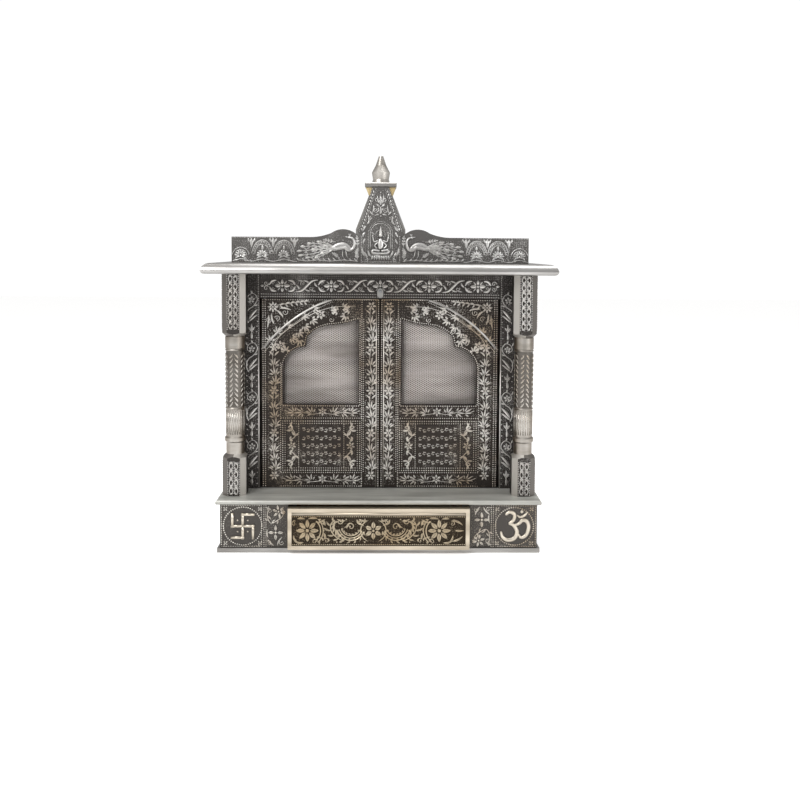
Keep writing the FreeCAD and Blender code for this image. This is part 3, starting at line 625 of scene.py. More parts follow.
class SharedEffects:
    """Shader groups that more than one finish uses."""

    def __init__(self) -> None:
        """Builds each group once."""
        self.patina = self.make_patina()
        self.dents = self.make_dents()
        self.smears = self.make_smears()

    def make_patina(self) -> bpy.types.NodeTree:
        """How much of the bright metal shows: rubbed on crowns, blackened in recesses.

        Returns:
            A group with Lift, Wear and Blotch in, and Bright and Tarnish (0 to 1) out.
        """
        inputs = {"Lift": 0.0, "Wear": 0.5, "Blotch": 0.3}
        tree, desk, given, out = node_group("patina", inputs, ("Bright", "Tarnish"))
        where = desk.where()
        broad = desk.noise(where, 34.0, 4.0)
        fine = desk.noise(where, 640.0, 2.0)
        drift = desk.math("MULTIPLY", desk.math("SUBTRACT", broad, 0.5), given.outputs["Blotch"])
        grain = desk.math("MULTIPLY", desk.math("SUBTRACT", fine, 0.46), 0.8)
        raised = desk.math("ADD", desk.math("ADD", given.outputs["Lift"], drift), grain)
        shown = desk.math("MULTIPLY", desk.span(raised, 0.12, 0.85), given.outputs["Wear"])
        desk.link(desk.math("ADD", shown, 0.0, clamp=True), out, "Bright")
        desk.link(desk.span(desk.noise(where, 15.0, 3.0), 0.42, 0.62), out, "Tarnish")
        return tree

    def make_dents(self) -> bpy.types.NodeTree:
        """Fine unevenness of pressed sheet: stipple and soft hammering.

        Returns:
            A group with Stipple and Hammer in and Height out.
        """
        tree, desk, given, out = node_group("dents", {"Stipple": 0.5, "Hammer": 0.5}, ("Height",))
        where = desk.where()
        cells = desk.add("ShaderNodeTexVoronoi", {"Vector": where, "Scale": 1250.0}).outputs["Distance"]
        swell = desk.noise(where, 160.0, 3.0)
        stipple = desk.math("MULTIPLY", cells, given.outputs["Stipple"])
        hammer = desk.math("MULTIPLY", swell, given.outputs["Hammer"])
        desk.link(desk.math("ADD", stipple, hammer), out, "Height")
        return tree

    def make_smears(self) -> bpy.types.NodeTree:
        """Long smears and handling marks on plain sheet.

        Returns:
            A group with Amount in, and Smear (0 to 1) and Height out.
        """
        tree, desk, given, out = node_group("smears", {"Amount": 0.5}, ("Smear", "Height"))
        smear = desk.noise(desk.where((9.0, 60.0, 60.0)), 1.0, 5.0)
        wave = desk.noise(desk.where((14.0, 14.0, 14.0)), 1.0, 2.0)
        desk.link(desk.span(smear, 0.3, 0.7), out, "Smear")
        desk.link(desk.math("MULTIPLY", wave, given.outputs["Amount"]), out, "Height")
        return tree


def grey(red: int, green: int, blue: int) -> Colour:
    """A linear colour from the 0 to 255 values that it is seen at."""
    def linear(value: int) -> float:
        """The linear light of one screen value."""
        share = value / 255
        return share / 12.92 if share <= 0.04045 else ((share + 0.055) / 1.055) ** 2.4
    return (linear(red), linear(green), linear(blue), 1.0)


@dataclass(frozen=True)
class EmbossedSheet:
    """Oxidised pressed sheet: blackened ground, rubbed crowns."""

    name: str
    recess: Colour
    crown: Colour
    tarnish: Colour
    wear: float = 0.9
    roughness: Point = (0.5, 0.3)
    stipple: float = 0.6
    blotch: float = 0.9

    def material(self, effects: SharedEffects) -> bpy.types.Material:
        """Builds the material.

        Args:
            effects: the shared shader groups.

        Returns:
            The material.
        """
        material, desk, shader = start_material(self.name)
        lift = desk.add("ShaderNodeAttribute", attribute_name="lift").outputs["Fac"]
        patina = desk.group(effects.patina, {"Lift": lift, "Wear": self.wear, "Blotch": self.blotch})
        bright = patina["Bright"]
        rubbed = desk.blend(patina["Tarnish"], self.crown, self.tarnish)
        desk.link(desk.blend(bright, self.recess, rubbed), shader, "Base Color")
        desk.link(desk.span(bright, 0.0, 1.0, *self.roughness), shader, "Roughness")
        shader.inputs["Metallic"].default_value = 1.0
        dents = desk.group(effects.dents, {"Stipple": self.stipple})
        bump = {"Strength": 0.35, "Distance": 0.0005, "Height": dents["Height"]}
        desk.link(desk.add("ShaderNodeBump", bump).outputs["Normal"], shader, "Normal")
        return material


@dataclass(frozen=True)
class PlainSheet:
    """Satin sheet with smears and a slight waviness."""

    name: str
    light: Colour
    dark: Colour
    roughness: Point = (0.2, 0.36)
    waviness: float = 1.0
    metal: float = 1.0

    def material(self, effects: SharedEffects) -> bpy.types.Material:
        """Builds the material.

        Args:
            effects: the shared shader groups.

        Returns:
            The material.
        """
        material, desk, shader = start_material(self.name)
        smears = desk.group(effects.smears, {"Amount": self.waviness})
        desk.link(desk.blend(smears["Smear"], self.light, self.dark), shader, "Base Color")
        desk.link(desk.span(smears["Smear"], 0.0, 1.0, *self.roughness), shader, "Roughness")
        shader.inputs["Metallic"].default_value = self.metal
        bump = {"Strength": 0.25, "Distance": 0.004, "Height": smears["Height"]}
        desk.link(desk.add("ShaderNodeBump", bump).outputs["Normal"], shader, "Normal")
        return material


@dataclass(frozen=True)
class BareWood:
    """Unvarnished board with long grain along one axis."""

    name: str
    pale: Colour
    deep: Colour
    grain: Triple

    def material(self, effects: SharedEffects) -> bpy.types.Material:
        """Builds the material.

        Args:
            effects: the shared shader groups.

        Returns:
            The material.
        """
        material, desk, shader = start_material(self.name)
        rings = {"Vector": desk.where(self.grain), "Scale": 1.0, "Detail": 8.0, "Distortion": 0.6}
        figure = desk.span(desk.add("ShaderNodeTexNoise", rings).outputs["Fac"], 0.3, 0.7)
        desk.link(desk.blend(figure, self.pale, self.deep), shader, "Base Color")
        desk.link(desk.span(figure, 0.0, 1.0, 0.62, 0.8), shader, "Roughness")
        height = desk.math("ADD", desk.group(effects.dents)["Height"], figure)
        bump = {"Strength": 0.3, "Distance": 0.0003, "Height": height}
        desk.link(desk.add("ShaderNodeBump", bump).outputs["Normal"], shader, "Normal")
        return material


class Finishes:
    """Every finish of the cabinet, built once."""

    def __init__(self, effects: SharedEffects) -> None:
        """Builds the materials from the shared shader groups."""
        silver = (grey(62, 59, 57), grey(210, 207, 203), grey(176, 171, 165))
        self.embossed = EmbossedSheet("embossed sheet", *silver).material(effects)
        self.door = EmbossedSheet("door sheet", grey(52, 48, 45), grey(212, 208, 202),
                                  grey(168, 152, 132)).material(effects)
        self.deep = EmbossedSheet("blackened sheet", grey(42, 39, 37), grey(208, 204, 196),
                                  grey(168, 154, 136)).material(effects)
        self.bronze = EmbossedSheet("drawer ornament", grey(46, 40, 33), grey(190, 177, 154),
                                    grey(164, 146, 118)).material(effects)
        self.base = EmbossedSheet("base sheet", grey(76, 73, 70), grey(190, 185, 178),
                                  grey(158, 150, 140)).material(effects)
        self.crest = EmbossedSheet("crest sheet", grey(92, 90, 88), grey(216, 215, 213),
                                   grey(188, 186, 183)).material(effects)
        self.flank = EmbossedSheet("flank sheet", grey(96, 92, 88), grey(210, 206, 200),
                                   grey(174, 166, 154),
                                   0.8).material(effects)
        self.shaft = EmbossedSheet("turned sheet", grey(84, 78, 72), grey(196, 191, 184),
                                   grey(164, 154, 140),
                                   roughness=(0.34, 0.24), stipple=0.3).material(effects)
        self.plain = PlainSheet("plain sheet", grey(172, 170, 167), grey(122, 119, 115),
                                (0.3, 0.46)).material(effects)
        self.cornice = PlainSheet("cornice sheet", grey(176, 174, 172), grey(130, 128, 125),
                                  (0.26, 0.42)).material(effects)
        self.shelf = PlainSheet("shelf sheet", grey(184, 184, 178), grey(138, 137, 131), (0.34, 0.5),
                                metal=0.45).material(effects)
        self.polish = PlainSheet("polished sheet", grey(190, 186, 180), grey(122, 116, 108), (0.3, 0.42),
                                 0.5).material(effects)
        self.signs = PlainSheet("sign sheet", grey(206, 198, 184), grey(178, 168, 152),
                                (0.3, 0.4)).material(effects)
        self.champagne = PlainSheet("champagne sheet", grey(204, 193, 175), grey(164, 153, 136),
                                    (0.3, 0.42)).material(effects)
        self.mesh = PlainSheet("mesh strands", grey(192, 185, 180), grey(142, 136, 131), (0.45, 0.55), 0.2,
                               0.35).material(effects)
        self.steel = PlainSheet("steel", grey(178, 180, 182), grey(120, 122, 126),
                                (0.25, 0.4)).material(effects)
        self.wood = BareWood("bare board", grey(206, 172, 128), grey(168, 128, 84),
                             (6.0, 90.0, 90.0)).material(effects)
        self.block_wood = BareWood("bare block", grey(176, 158, 116), grey(140, 120, 80),
                                   (90.0, 90.0, 12.0)).material(effects)
        self.column = EmbossedSheet("column sheet", *silver).material(effects)
        self.paint_corner_shading()
        self.drawer = PlainSheet("drawer sheet", grey(204, 193, 175), grey(158, 147, 130),
                                 (0.3, 0.42)).material(effects)
        self.blacken_field(effects)
        self.turned = PlainSheet("column shaft", grey(182, 178, 172), grey(124, 118, 110), (0.26, 0.38),
                                 0.4).material(effects)
        self.paint_flank_shade_and_leaf_ground()
        self.back = self.wood.copy()
        self.back.name = "stained back board"
        self.darken_back_inner_face()

    def paint_corner_shading(self, square: float = 0.9) -> None:
        """Paints light and shade on the columns' eight-sided blocks by facing: a painted highlight on
        corner faces turned inward and painted shade on those turned outward.

        Args:
            square: how far a main face's normal runs along an axis at least.
        """
        desk, shader, ground = repaint(self.column)
        facing = desk.axes(desk.add("ShaderNodeNewGeometry").outputs["True Normal"])
        main_axis = desk.math("MAXIMUM", desk.math("ABSOLUTE", facing["X"]),
                              desk.math("ABSOLUTE", facing["Y"]))
        corner = desk.math("LESS_THAN", main_axis, square)
        inward = desk.math("LESS_THAN", desk.math("MULTIPLY", facing["X"], desk.axes()["X"]), 0.0)
        # Painted light and shade: inward-facing corner faces take the light grey, outward-facing ones the
        # dark grey.
        tone = desk.blend(inward, grey(104, 100, 96), grey(178, 174, 168))
        desk.link(desk.blend(corner, ground, tone), shader, "Base Color")

    def paint_flank_shade_and_leaf_ground(self, leaf_middle: float = 0.2235, leaf_half: float = 0.0375) -> None:
        """Paints brown shade on the column shafts' flanks and blackens the band of raised leaves.

        Args:
            leaf_middle: height of the band's middle in metres.
            leaf_half: half its height.
        """
        desk, shader, sheet = repaint(self.turned)
        place = desk.axes()
        off_axis = desk.math("SUBTRACT", desk.math("ABSOLUTE", place["X"]), COLUMN_X * MM)
        flank = desk.span(desk.math("ABSOLUTE", off_axis), 0.004, 0.0125, 0.0, 0.85)
        level = desk.math("ABSOLUTE", desk.math("SUBTRACT", place["Z"], leaf_middle))
        leafed = desk.math("MULTIPLY", desk.math("LESS_THAN", level, leaf_half), 0.75)
        # Painted shade: the shaft turns darker and browner towards both flanks, away from its front.
        flank_shaded = desk.blend(flank, sheet, grey(104, 92, 78))
        desk.link(desk.blend(leafed, flank_shaded, grey(70, 66, 62)), shader, "Base Color")

    def darken_back_inner_face(self, rear: float = 0.1185) -> None:
        """Darkens the back board inside the chamber and leaves its rear bare.

        Args:
            rear: depth in metres past which the board is bare.
        """
        desk, shader, bare = repaint(self.back)
        inner = desk.math("LESS_THAN", desk.axes()["Y"], rear)
        # The board is made much darker on the chamber side than at the rear.
        darkened = desk.blend(0.86, bare, grey(34, 29, 26))
        desk.link(desk.blend(inner, bare, darkened), shader, "Base Color")

    def blacken_field(self, effects: SharedEffects) -> None:
        """Blackens the drawer front's sunk field inside its champagne borders.

        Args:
            effects: the shared shader groups.
        """
        desk, shader, sheet = repaint(self.drawer)
        place = desk.axes()
        across = desk.math("LESS_THAN", desk.math("ABSOLUTE", place["X"]), FIELD_HALF * MM)
        level = desk.math("SUBTRACT", place["Z"], (FIELD_LOW + FIELD_HIGH) / 2 * MM)
        within = desk.math("LESS_THAN", desk.math("ABSOLUTE", level), (FIELD_HIGH - FIELD_LOW) / 2 * MM)
        deep = desk.math("LESS_THAN", place["Y"], (FIELD_Y + 1.0) * MM)
        field = desk.math("MULTIPLY", desk.math("MULTIPLY", across, within), deep)
        bright = desk.group(effects.patina, {"Wear": 0.8, "Blotch": 0.8})["Bright"]
        ground = desk.blend(bright, grey(46, 40, 33), grey(150, 134, 112))
        desk.link(desk.blend(field, sheet, ground), shader, "Base Color")

    def by_node(self, node: str) -> bpy.types.Material:
        """The finish of a CAD node, found by the start of its name."""
        rules = (
            (("drawer_front",), self.drawer),
            (("drawer", "base_back"), self.wood),
            (("back_board",), self.back),
            (("pivot_pins", "button_nail"), self.steel),
            (("door_mesh",), self.mesh),
            (("cornice_board",), self.cornice),
            (("shelf_board",), self.shelf),
            (("plinth_board", "turn_button", "spire_core", "spire_plate", "door_rib"), self.plain),
            (("spire_block",), self.block_wood),
            (("finial",), self.polish),
            (("column_shaft",), self.turned),
            (("column_base", "column_capital"), self.column),
            (("crest", "spire_panel"), self.crest),
            (("side_wall", "base_side"), self.flank),
            (("base_front",), self.base),
            (("door",), self.door),
        )
        for starts, material in rules:
            if node.startswith(starts):
                return material
        return self.embossed


@dataclass(frozen=True)
class Studio:
    """Camera, soft lamps, pale floor and surroundings."""

    camera_place: Triple = (0.0084, -1.2171, 0.3932)
    camera_pitch: float = 3.0
    camera_yaw: float = 0.895
    camera_roll: float = 0.342
    lens: float = 38.94
    shift_up: float = -0.130

    def build_camera(self) -> None:
        """Sets the camera at the photograph's viewing angle."""
        data = bpy.data.cameras.new("camera")
        data.lens = self.lens
        data.sensor_width = 36.0
        data.shift_y = self.shift_up
        data.dof.use_dof = False
        camera = bpy.data.objects.new("camera", data)
        turn = Matrix.Rotation(math.radians(-self.camera_yaw), 4, "Z")
        tilt = Matrix.Rotation(math.radians(90 - self.camera_pitch), 4, "X")
        roll = Matrix.Rotation(math.radians(self.camera_roll), 4, "Z")
        camera.matrix_world = Matrix.Translation(self.camera_place) @ turn @ tilt @ roll
        bpy.context.scene.collection.objects.link(camera)
        bpy.context.scene.camera = camera

    def build_lamp(self, name: str, place: Triple, aim: Triple, size: Point, power: float) -> None:
        """Adds a rectangular soft lamp aimed at a point.

        Args:
            name: the lamp's name.
            place: position in metres.
            aim: the point that it faces.
            size: width and height in metres.
            power: watts.
        """
        data = bpy.data.lights.new(name, "AREA")
        data.shape = "RECTANGLE"
        data.size, data.size_y = size
        data.energy = power
        lamp = bpy.data.objects.new(name, data)
        from_lamp = np.array(aim) - np.array(place)
        pitch = math.atan2(math.hypot(from_lamp[0], from_lamp[1]), -from_lamp[2])
        yaw = math.atan2(from_lamp[1], from_lamp[0]) - math.pi / 2
        lamp.location = place
        lamp.rotation_euler = Euler((pitch, 0.0, yaw))
        bpy.context.scene.collection.objects.link(lamp)

    def build_world(self) -> None:
        """Soft surroundings, bright above and at the sides and dim in front, white to the camera.

        Brightness rises with max(z, 0.9 |x|) of the direction looked in.
        """
        world = bpy.data.worlds.new("studio")
        world.use_nodes = True
        desk = NodeDesk(world.node_tree)
        way = desk.axes(desk.add("ShaderNodeTexCoord").outputs["Generated"])
        wide = desk.math("MULTIPLY", desk.math("ABSOLUTE", way["X"]), 0.9)
        share = desk.span(desk.math("MAXIMUM", way["Z"], wide), 0.0, 0.75)
        around = desk.blend(share, (0.24, 0.24, 0.245, 1.0), (1.0, 0.995, 0.985, 1.0))
        seen = desk.add("ShaderNodeLightPath").outputs["Is Camera Ray"]
        background = world.node_tree.nodes["Background"]
        desk.link(desk.blend(seen, around, (1.3, 1.3, 1.3, 1.0)), background, "Color")
        background.inputs["Strength"].default_value = 0.8
        bpy.context.scene.world = world

    def build_floor(self) -> None:
        """Lays a plain pale floor under and around the cabinet."""
        reach = 6.0
        mesh = bpy.data.meshes.new("floor")
        corners = [(-reach, -reach, 0.0), (reach, -reach, 0.0), (reach, reach, 0.0), (-reach, reach, 0.0)]
        mesh.from_pydata(corners, [], [(0, 1, 2, 3)])
        material, _, shader = start_material("pale floor")
        shader.inputs["Base Color"].default_value = (0.86, 0.86, 0.86, 1.0)
        shader.inputs["Roughness"].default_value = 0.9
        shader.inputs["Emission Color"].default_value = (1.0, 1.0, 1.0, 1.0)
        shader.inputs["Emission Strength"].default_value = 0.35
        mesh.materials.append(material)
        floor = bpy.data.objects.new("floor", mesh)
        bpy.context.scene.collection.objects.link(floor)

    def build(self) -> None:
        """Builds the camera, the world, the lamps and the floor."""
        self.build_camera()
        self.build_world()
        aim = (0.0, 0.0, 0.22)
        self.build_lamp("key", (-0.9, -1.3, 1.35), aim, (0.9, 0.7), 26.0)
        self.build_lamp("fill", (1.3, -1.2, 0.7), aim, (0.8, 0.9), 9.0)
        self.build_lamp("top", (0.1, 0.1, 1.7), aim, (1.2, 0.8), 16.0)
        bpy.context.scene.view_settings.view_transform = "Standard"
        self.build_floor()


# Ornament that several pieces share

def through(first: Point, middle: Point, last: Point, steps: int = 16) -> Array:
    """A round arc through three points.

    Args:
        first: where it starts.
        middle: a point on the way.
        last: where it ends.
        steps: points on the arc.

    Returns:
        (steps, 2) points.
    """
    (ax, ay), (bx, by), (cx, cy) = first, middle, last
    twice = 2 * (ax * (by - cy) + bx * (cy - ay) + cx * (ay - by))
    squares = ax * ax + ay * ay, bx * bx + by * by, cx * cx + cy * cy
    x = (squares[0] * (by - cy) + squares[1] * (cy - ay) + squares[2] * (ay - by)) / twice
    y = (squares[0] * (cx - bx) + squares[1] * (ax - cx) + squares[2] * (bx - ax)) / twice
    start = math.atan2(ay - y, ax - x)
    sweep = math.remainder(math.atan2(cy - y, cx - x) - start, TAU)
    return arc((x, y), math.hypot(ax - x, ay - y), start, sweep, steps)


def beside(path: Array, by: float) -> Array:
    """The same path moved sideways, to its right for a positive distance."""
    along = np.gradient(path, axis=0)
    along /= np.linalg.norm(along, axis=1, keepdims=True) + 1e-9
    return path + rightward(along) * by


@dataclass(frozen=True)
class Band:
    """A straight strip of a face along which ornament runs."""

    start: Point
    end: Point
    half: float

    @property
    def heading(self) -> float:
        """Direction of the strip in radians."""
        return math.atan2(self.end[1] - self.start[1], self.end[0] - self.start[0])

    @property
    def length(self) -> float:
        """Length of the strip."""
        return math.hypot(self.end[0] - self.start[0], self.end[1] - self.start[1])

    def at(self, along: Array | float, across: Array | float) -> Array:
        """Points of the face from millimetres along the strip and shares of its half width across.

        Args:
            along: distances from the start.
            across: from -1 at the right edge to 1 at the left edge.

        Returns:
            (..., 2) points.
        """
        along, across = np.broadcast_arrays(np.asarray(along, float), np.asarray(across, float) * self.half)
        cos, sin = math.cos(self.heading), math.sin(self.heading)
        return np.stack([self.start[0] + along * cos - across * sin,
                         self.start[1] + along * sin + across * cos], axis=-1)

    def marks(self, count: int) -> Array:
        """Middles of equal lengths of the strip."""
        return (np.arange(count) + 0.5) * self.length / count


def scroll_vine(relief: Embossing, band: Band, bows: int) -> None:
    """A thin wavy stem with a spiral and a flower in every bow, leaves at the crossings.

    The stem runs along at across = 0.45 sin(pi * along / bow length).

    Args:
        relief: the relief that receives it.
        band: its strip.
        bows: number of half waves.
    """
    half = band.half
    pace = band.length / bows
    along = np.linspace(0.0, band.length, bows * 8 + 1)
    relief.ridge(band.at(along, 0.45 * np.sin(np.pi * along / pace)), 0.55, 0.8)
    marks = band.marks(bows)
    hands = np.where(np.arange(bows) % 2 == 0, 1.0, -1.0)
    eyes = band.at(marks, -0.3 * hands)
    relief.curls(eyes, half * 0.62, band.heading + hands * np.pi / 2 + 0.4, hands, 0.55, 0.95)
    relief.flowers(eyes, half * 0.34, 5)
    edges = band.at(marks, 0.84 * hands)
    relief.leaves(edges, band.at(marks + pace * 0.34, 0.72 * hands), half * 0.13, 0.2)
    relief.leaves(edges, band.at(marks - pace * 0.34, 0.78 * hands), half * 0.13, -0.2)
    crossings = np.arange(1, bows) * pace
    for hand in HANDS:
        for way, width in ((0.2, 0.14), (-0.2, 0.12)):
            relief.leaves(band.at(crossings, 0.1 * hand), band.at(crossings + pace * way, 0.9 * hand),
                          half * width, way * hand)
    dots = np.concatenate([band.at(marks + shift * half, 0.85 * hands) for shift in (-0.16, 0.0, 0.16)])
    relief.beads(dots, half * 0.07)


def palms(relief: Embossing, bases: Array, headings: Array | float, reach: float, width: float,
          spread: float = 2.2) -> None:
    """Bunches of five pointed leaves fanned about a heading, the middle one longest.

    Args:
        relief: the relief that receives them.
        bases: (n, 2) roots.
        headings: direction of each bunch.
        reach: length of the middle leaf.
        width: half width of a leaf.
        spread: angle between the outermost leaves.
    """
    bases = xy(bases)
    headings = np.broadcast_to(np.asarray(headings, float), len(bases))
    lean = np.linspace(-0.5, 0.5, 5) * spread
    angle = headings[:, None] + lean[None]
    length = reach * (1 - 0.38 * (2 * np.abs(lean) / spread) ** 1.5)
    ray = rays(angle)
    roots = bases[:, None] + ray * reach * 0.22
    tips = bases[:, None] + ray * length[None, :, None]
    bends = np.broadcast_to(np.sign(lean) * 0.16, angle.shape).reshape(-1)
    relief.leaves(roots, tips, width, bends, 1.0)


def garland(relief: Embossing, band: Band, blooms: Array) -> None:
    """Flowers at given places on a wavy stem, with three leaf bunches growing up to each next one.

    The stem runs at across = 0.22 sin(2 pi * share of the way between two flowers).

    Args:
        relief: the relief that receives it.
        band: its strip.
        blooms: distances of the flowers along the strip.
    """
    half = band.half
    blooms = np.asarray(blooms, float)
    relief.flowers(band.at(blooms, 0.0), half * 0.78, 6, band.heading + math.pi / 2, 1.1)
    starts, ends = blooms[:-1], blooms[1:]
    gap = ends - starts
    share = np.linspace(0.0, 1.0, 15)
    along = starts[:, None] + gap[:, None] * share[None]
    relief.strokes(band.at(along, np.broadcast_to(0.22 * np.sin(TAU * share), along.shape)), 0.42, 0.7)
    for place, turn in ((0.14, 0.14), (0.34, -0.18), (0.54, 0.16)):
        bases = band.at(starts + gap * place, 0.22 * math.sin(TAU * place))
        palms(relief, bases, band.heading + turn, half * 1.6, half * 0.13, 2.1)
    for hand in HANDS:
        roots = band.at(starts + gap * 0.8, 0.12 * hand)
        relief.leaves(roots, band.at(starts + gap * 0.9, 0.85 * hand), half * 0.14, 0.2 * hand)
        relief.leaves(band.at(starts + gap * 0.13, 0.2 * hand), band.at(starts + gap * 0.2, 0.95 * hand),
                      half * 0.13, 0.2 * hand)
        relief.beads(band.at(starts + gap * (0.5 + 0.2 * hand), 0.86 * hand), half * 0.09)


def rail_spray(relief: Embossing, centre: Point, reach: float, half: float) -> None:
    """A flower on a level rail with two leaf bunches growing away from it on each hand.

    Args:
        relief: the relief that receives it.
        centre: the flower's middle.
        reach: how far the leaves run to each side.
        half: half height of the rail.
    """
    relief.flowers([centre], half * 0.86, 6, math.pi / 2, 1.1)
    for hand in HANDS:
        stem = smooth([(half * 0.7, -half * 0.35), (reach * 0.3, -half * 0.5), (reach * 0.55, -half * 0.1),
                       (reach * 0.8, -half * 0.3), (reach, half * 0.2)], 5) * (hand, 1.0) + centre
        relief.ridge(stem, 0.45, 0.8)
        for place, lift, turn in ((0.26, -0.5, 0.9), (0.5, -0.1, -0.1), (0.72, -0.3, 0.55)):
            base = np.array(centre) + (hand * reach * place, half * lift)
            heading = turn if hand > 0 else math.pi - turn
            palms(relief, base, heading, half * 1.75, half * 0.14, 2.3)


def leaf_vine(relief: Embossing, band: Band, bunches: int) -> None:
    """A garland with flowers at even distances from end to end, one more than its spans."""
    garland(relief, band, np.linspace(band.half * 0.8, band.length - band.half * 0.8, bunches + 1))


def bead_frame(relief: Embossing, low: Point, high: Point, pitch: float = 1.95,
               radius: float = 0.72) -> None:
    """A row of beads round a rectangle."""
    corners = box_path(low, high)
    for first, last in zip(corners[:-1], corners[1:]):
        relief.bead_row([first, last], pitch, radius)


# Door leaves

@dataclass(frozen=True)
class DoorLook:
    """Relief of one door leaf, measured outward from the middle of the cabinet."""

    side: float
    face_y: float = -49.0
    panel_y: float = -50.2
    field_y: float = -51.0
    foot: float = 70.0
    head: float = 327.7
    sill: float = 183.8
    window_inner: float = 28.9
    window_outer: float = 131.3
    mesh_low: Point = (22.9, 177.8)
    mesh_high: Point = (137.3, 306.3)
    mesh_front: float = -43.0
    mesh_pitch: float = 4.9
    mesh_slope: float = 0.58
    strand: float = 1.05

    @property
    def leaf(self) -> str:
        """The leaf's body, with which the names of its pieces begin."""
        return f"door_{side_name(self.side)}"

    def window_path(self) -> Array:
        """The cusped outline of the window from its inner lower corner round to its crown."""
        parts = [
            np.array([[self.window_inner, self.sill], [self.window_outer, self.sill],
                      [self.window_outer, 235.0]]),
            through((131.3, 235.0), (122.7, 253.6), (100.9, 262.8)),
            np.array([[98.3, 276.7]]),
            through((98.3, 276.7), (84.4, 287.4), (65.2, 292.4), 12),
            through((65.2, 292.4), (47.0, 295.1), (28.9, 300.3), 12),
            np.array([[self.window_inner, self.sill]]),
        ]
        return np.concatenate(parts)

    def add_frame(self, finishes: Finishes) -> None:
        """Relief of the stiles, rails and the arch."""
        relief = Embossing(front(self.face_y, self.side))
        for low, high in (((4.5, 73.0), (21.0, 326.0)), ((136.0, 92.0), (153.5, 250.0)),
                          ((25.0, 73.5), (134.0, 89.0)),
                          ((25.0, 167.0), (134.0, 182.0)), ((25.0, 302.0), (100.0, 326.0)),
                          ((104.0, 266.0), (153.5, 326.0))):
            relief.seeds(low, high)
        relief.bars([(5.0, self.foot + 1.0), (5.0, self.head - 0.6)], 0.8, 0.8, Section.ROUND)
        levels = np.array([86.0, 145.0, 203.0, 262.0, 318.0])
        garland(relief, Band((12.0, 73.0), (12.0, 322.0), 8.6), levels - 73.0)
        garland(relief, Band((143.4, 73.0), (143.4, 262.0), 8.4), levels[:4] - 73.0)
        rail_spray(relief, (77.7, 81.2), 54.0, 7.4)
        rail_spray(relief, (77.7, 174.2), 51.0, 7.2)
        relief.bars([(66.0, self.head - 0.6), (2.6, self.head - 0.6)], 0.5, 0.9, Section.ROUND)
        window = spaced(self.window_path(), 2.0)
        relief.bead_row(beside(window, 1.8), 3.0, 1.05)
        for u in (2.2, 24.6, 155.2, 158.4):
            relief.bead_row([(u, self.foot + 2.0), (u, self.head - 1.5)], 3.0, 1.0)
        for first, last in (((22.2, 92.0), (22.2, 300.0)), ((134.6, 92.0), (134.6, 240.0))):
            relief.bead_row([first, last], 3.0, 0.95)
        for v in (71.6, 90.4, 165.2):
            relief.bead_row([(25.0, v), (134.0, v)], 3.0, 0.95)
        relief.bead_row([(3.0, self.head - 1.4), (154.0, self.head - 1.4)], 3.0, 0.95)
        self.fill_arch(relief)
        relief.piece(f"{self.leaf}_relief", self.leaf, "embossed_metal", finishes.door)

    def fill_arch(self, relief: Embossing) -> None:
        """Flowers and drooping sprays between the window and the arch, and the corner flower."""
        rib = through((157.8, 258.0), (113.6, 299.6), (66.0, 326.0), 40)
        for by in (-2.7, 2.7):
            beads = spaced(beside(rib, by), 2.4)
            relief.beads(beads[beads[:, 1] < self.head - 1.2], 0.85, 0.8)
        relief.flowers([(80.6, 306.4), (133.9, 263.9)], 6.8, 6, 0.3, 1.1, 1.0)
        relief.flowers([(144.8, 316.6)], 7.6, 8, 0.0, 1.1, 0.9)
        spread = np.array([
            (67.0, 312.0, 0.15), (52.0, 316.0, 0.10), (56.0, 311.0, 3.0), (40.0, 313.0, 3.1),
            (45.0, 306.6, -2.3), (94.0, 300.0, -0.5), (103.0, 292.6, -0.9), (112.0, 284.0, -0.8),
            (108.0, 274.0, -1.9), (121.0, 276.0, -0.5), (147.0, 268.0, 1.9), (127.6, 254.0, 1.7),
            (92.0, 314.0, 0.2), (127.0, 289.0, 0.9), (140.0, 280.0, 1.1), (106.0, 305.4, -0.4),
        ])
        palms(relief, spread[:, :2], math.pi - spread[:, 2], 11.6, 1.25)
        relief.curls([(99.6, 284.0), (117.0, 268.0), (66.0, 299.4)], 3.6, [2.2, 1.2, 2.6], [1.0, -1.0, 1.0])
        stem = smooth([(150.0, 250.0), (138.0, 274.0), (118.0, 291.0), (94.0, 306.0), (66.0, 316.0),
                       (34.0, 318.0)], 6)
        relief.ridge(stem, 0.55, 0.8)
        branch = smooth([(140.0, 318.6), (124.0, 321.4), (108.0, 323.4), (96.0, 324.6)], 5)
        relief.ridge(branch, 0.6, 0.9)
        along = branch[2:-2:2]
        relief.leaves(along, along + (-5.4, 1.6), 1.0, 0.2)
        relief.leaves(along, along + (-3.4, -4.4), 1.1, -0.2)
        relief.curls([(128.6, 309.4), (149.6, 298.0), (138.6, 300.6)], 4.2, [2.6, 1.2, 0.4],
                     [1.0, -1.0, 1.0])
        relief.leaves([(140.0, 312.0), (146.4, 308.0), (150.6, 306.0), (136.0, 314.6)],
                      [(131.0, 302.0), (143.0, 293.0), (152.6, 288.0), (120.0, 312.0)], 1.5,
                      [0.2, -0.2, 0.1, 0.2])

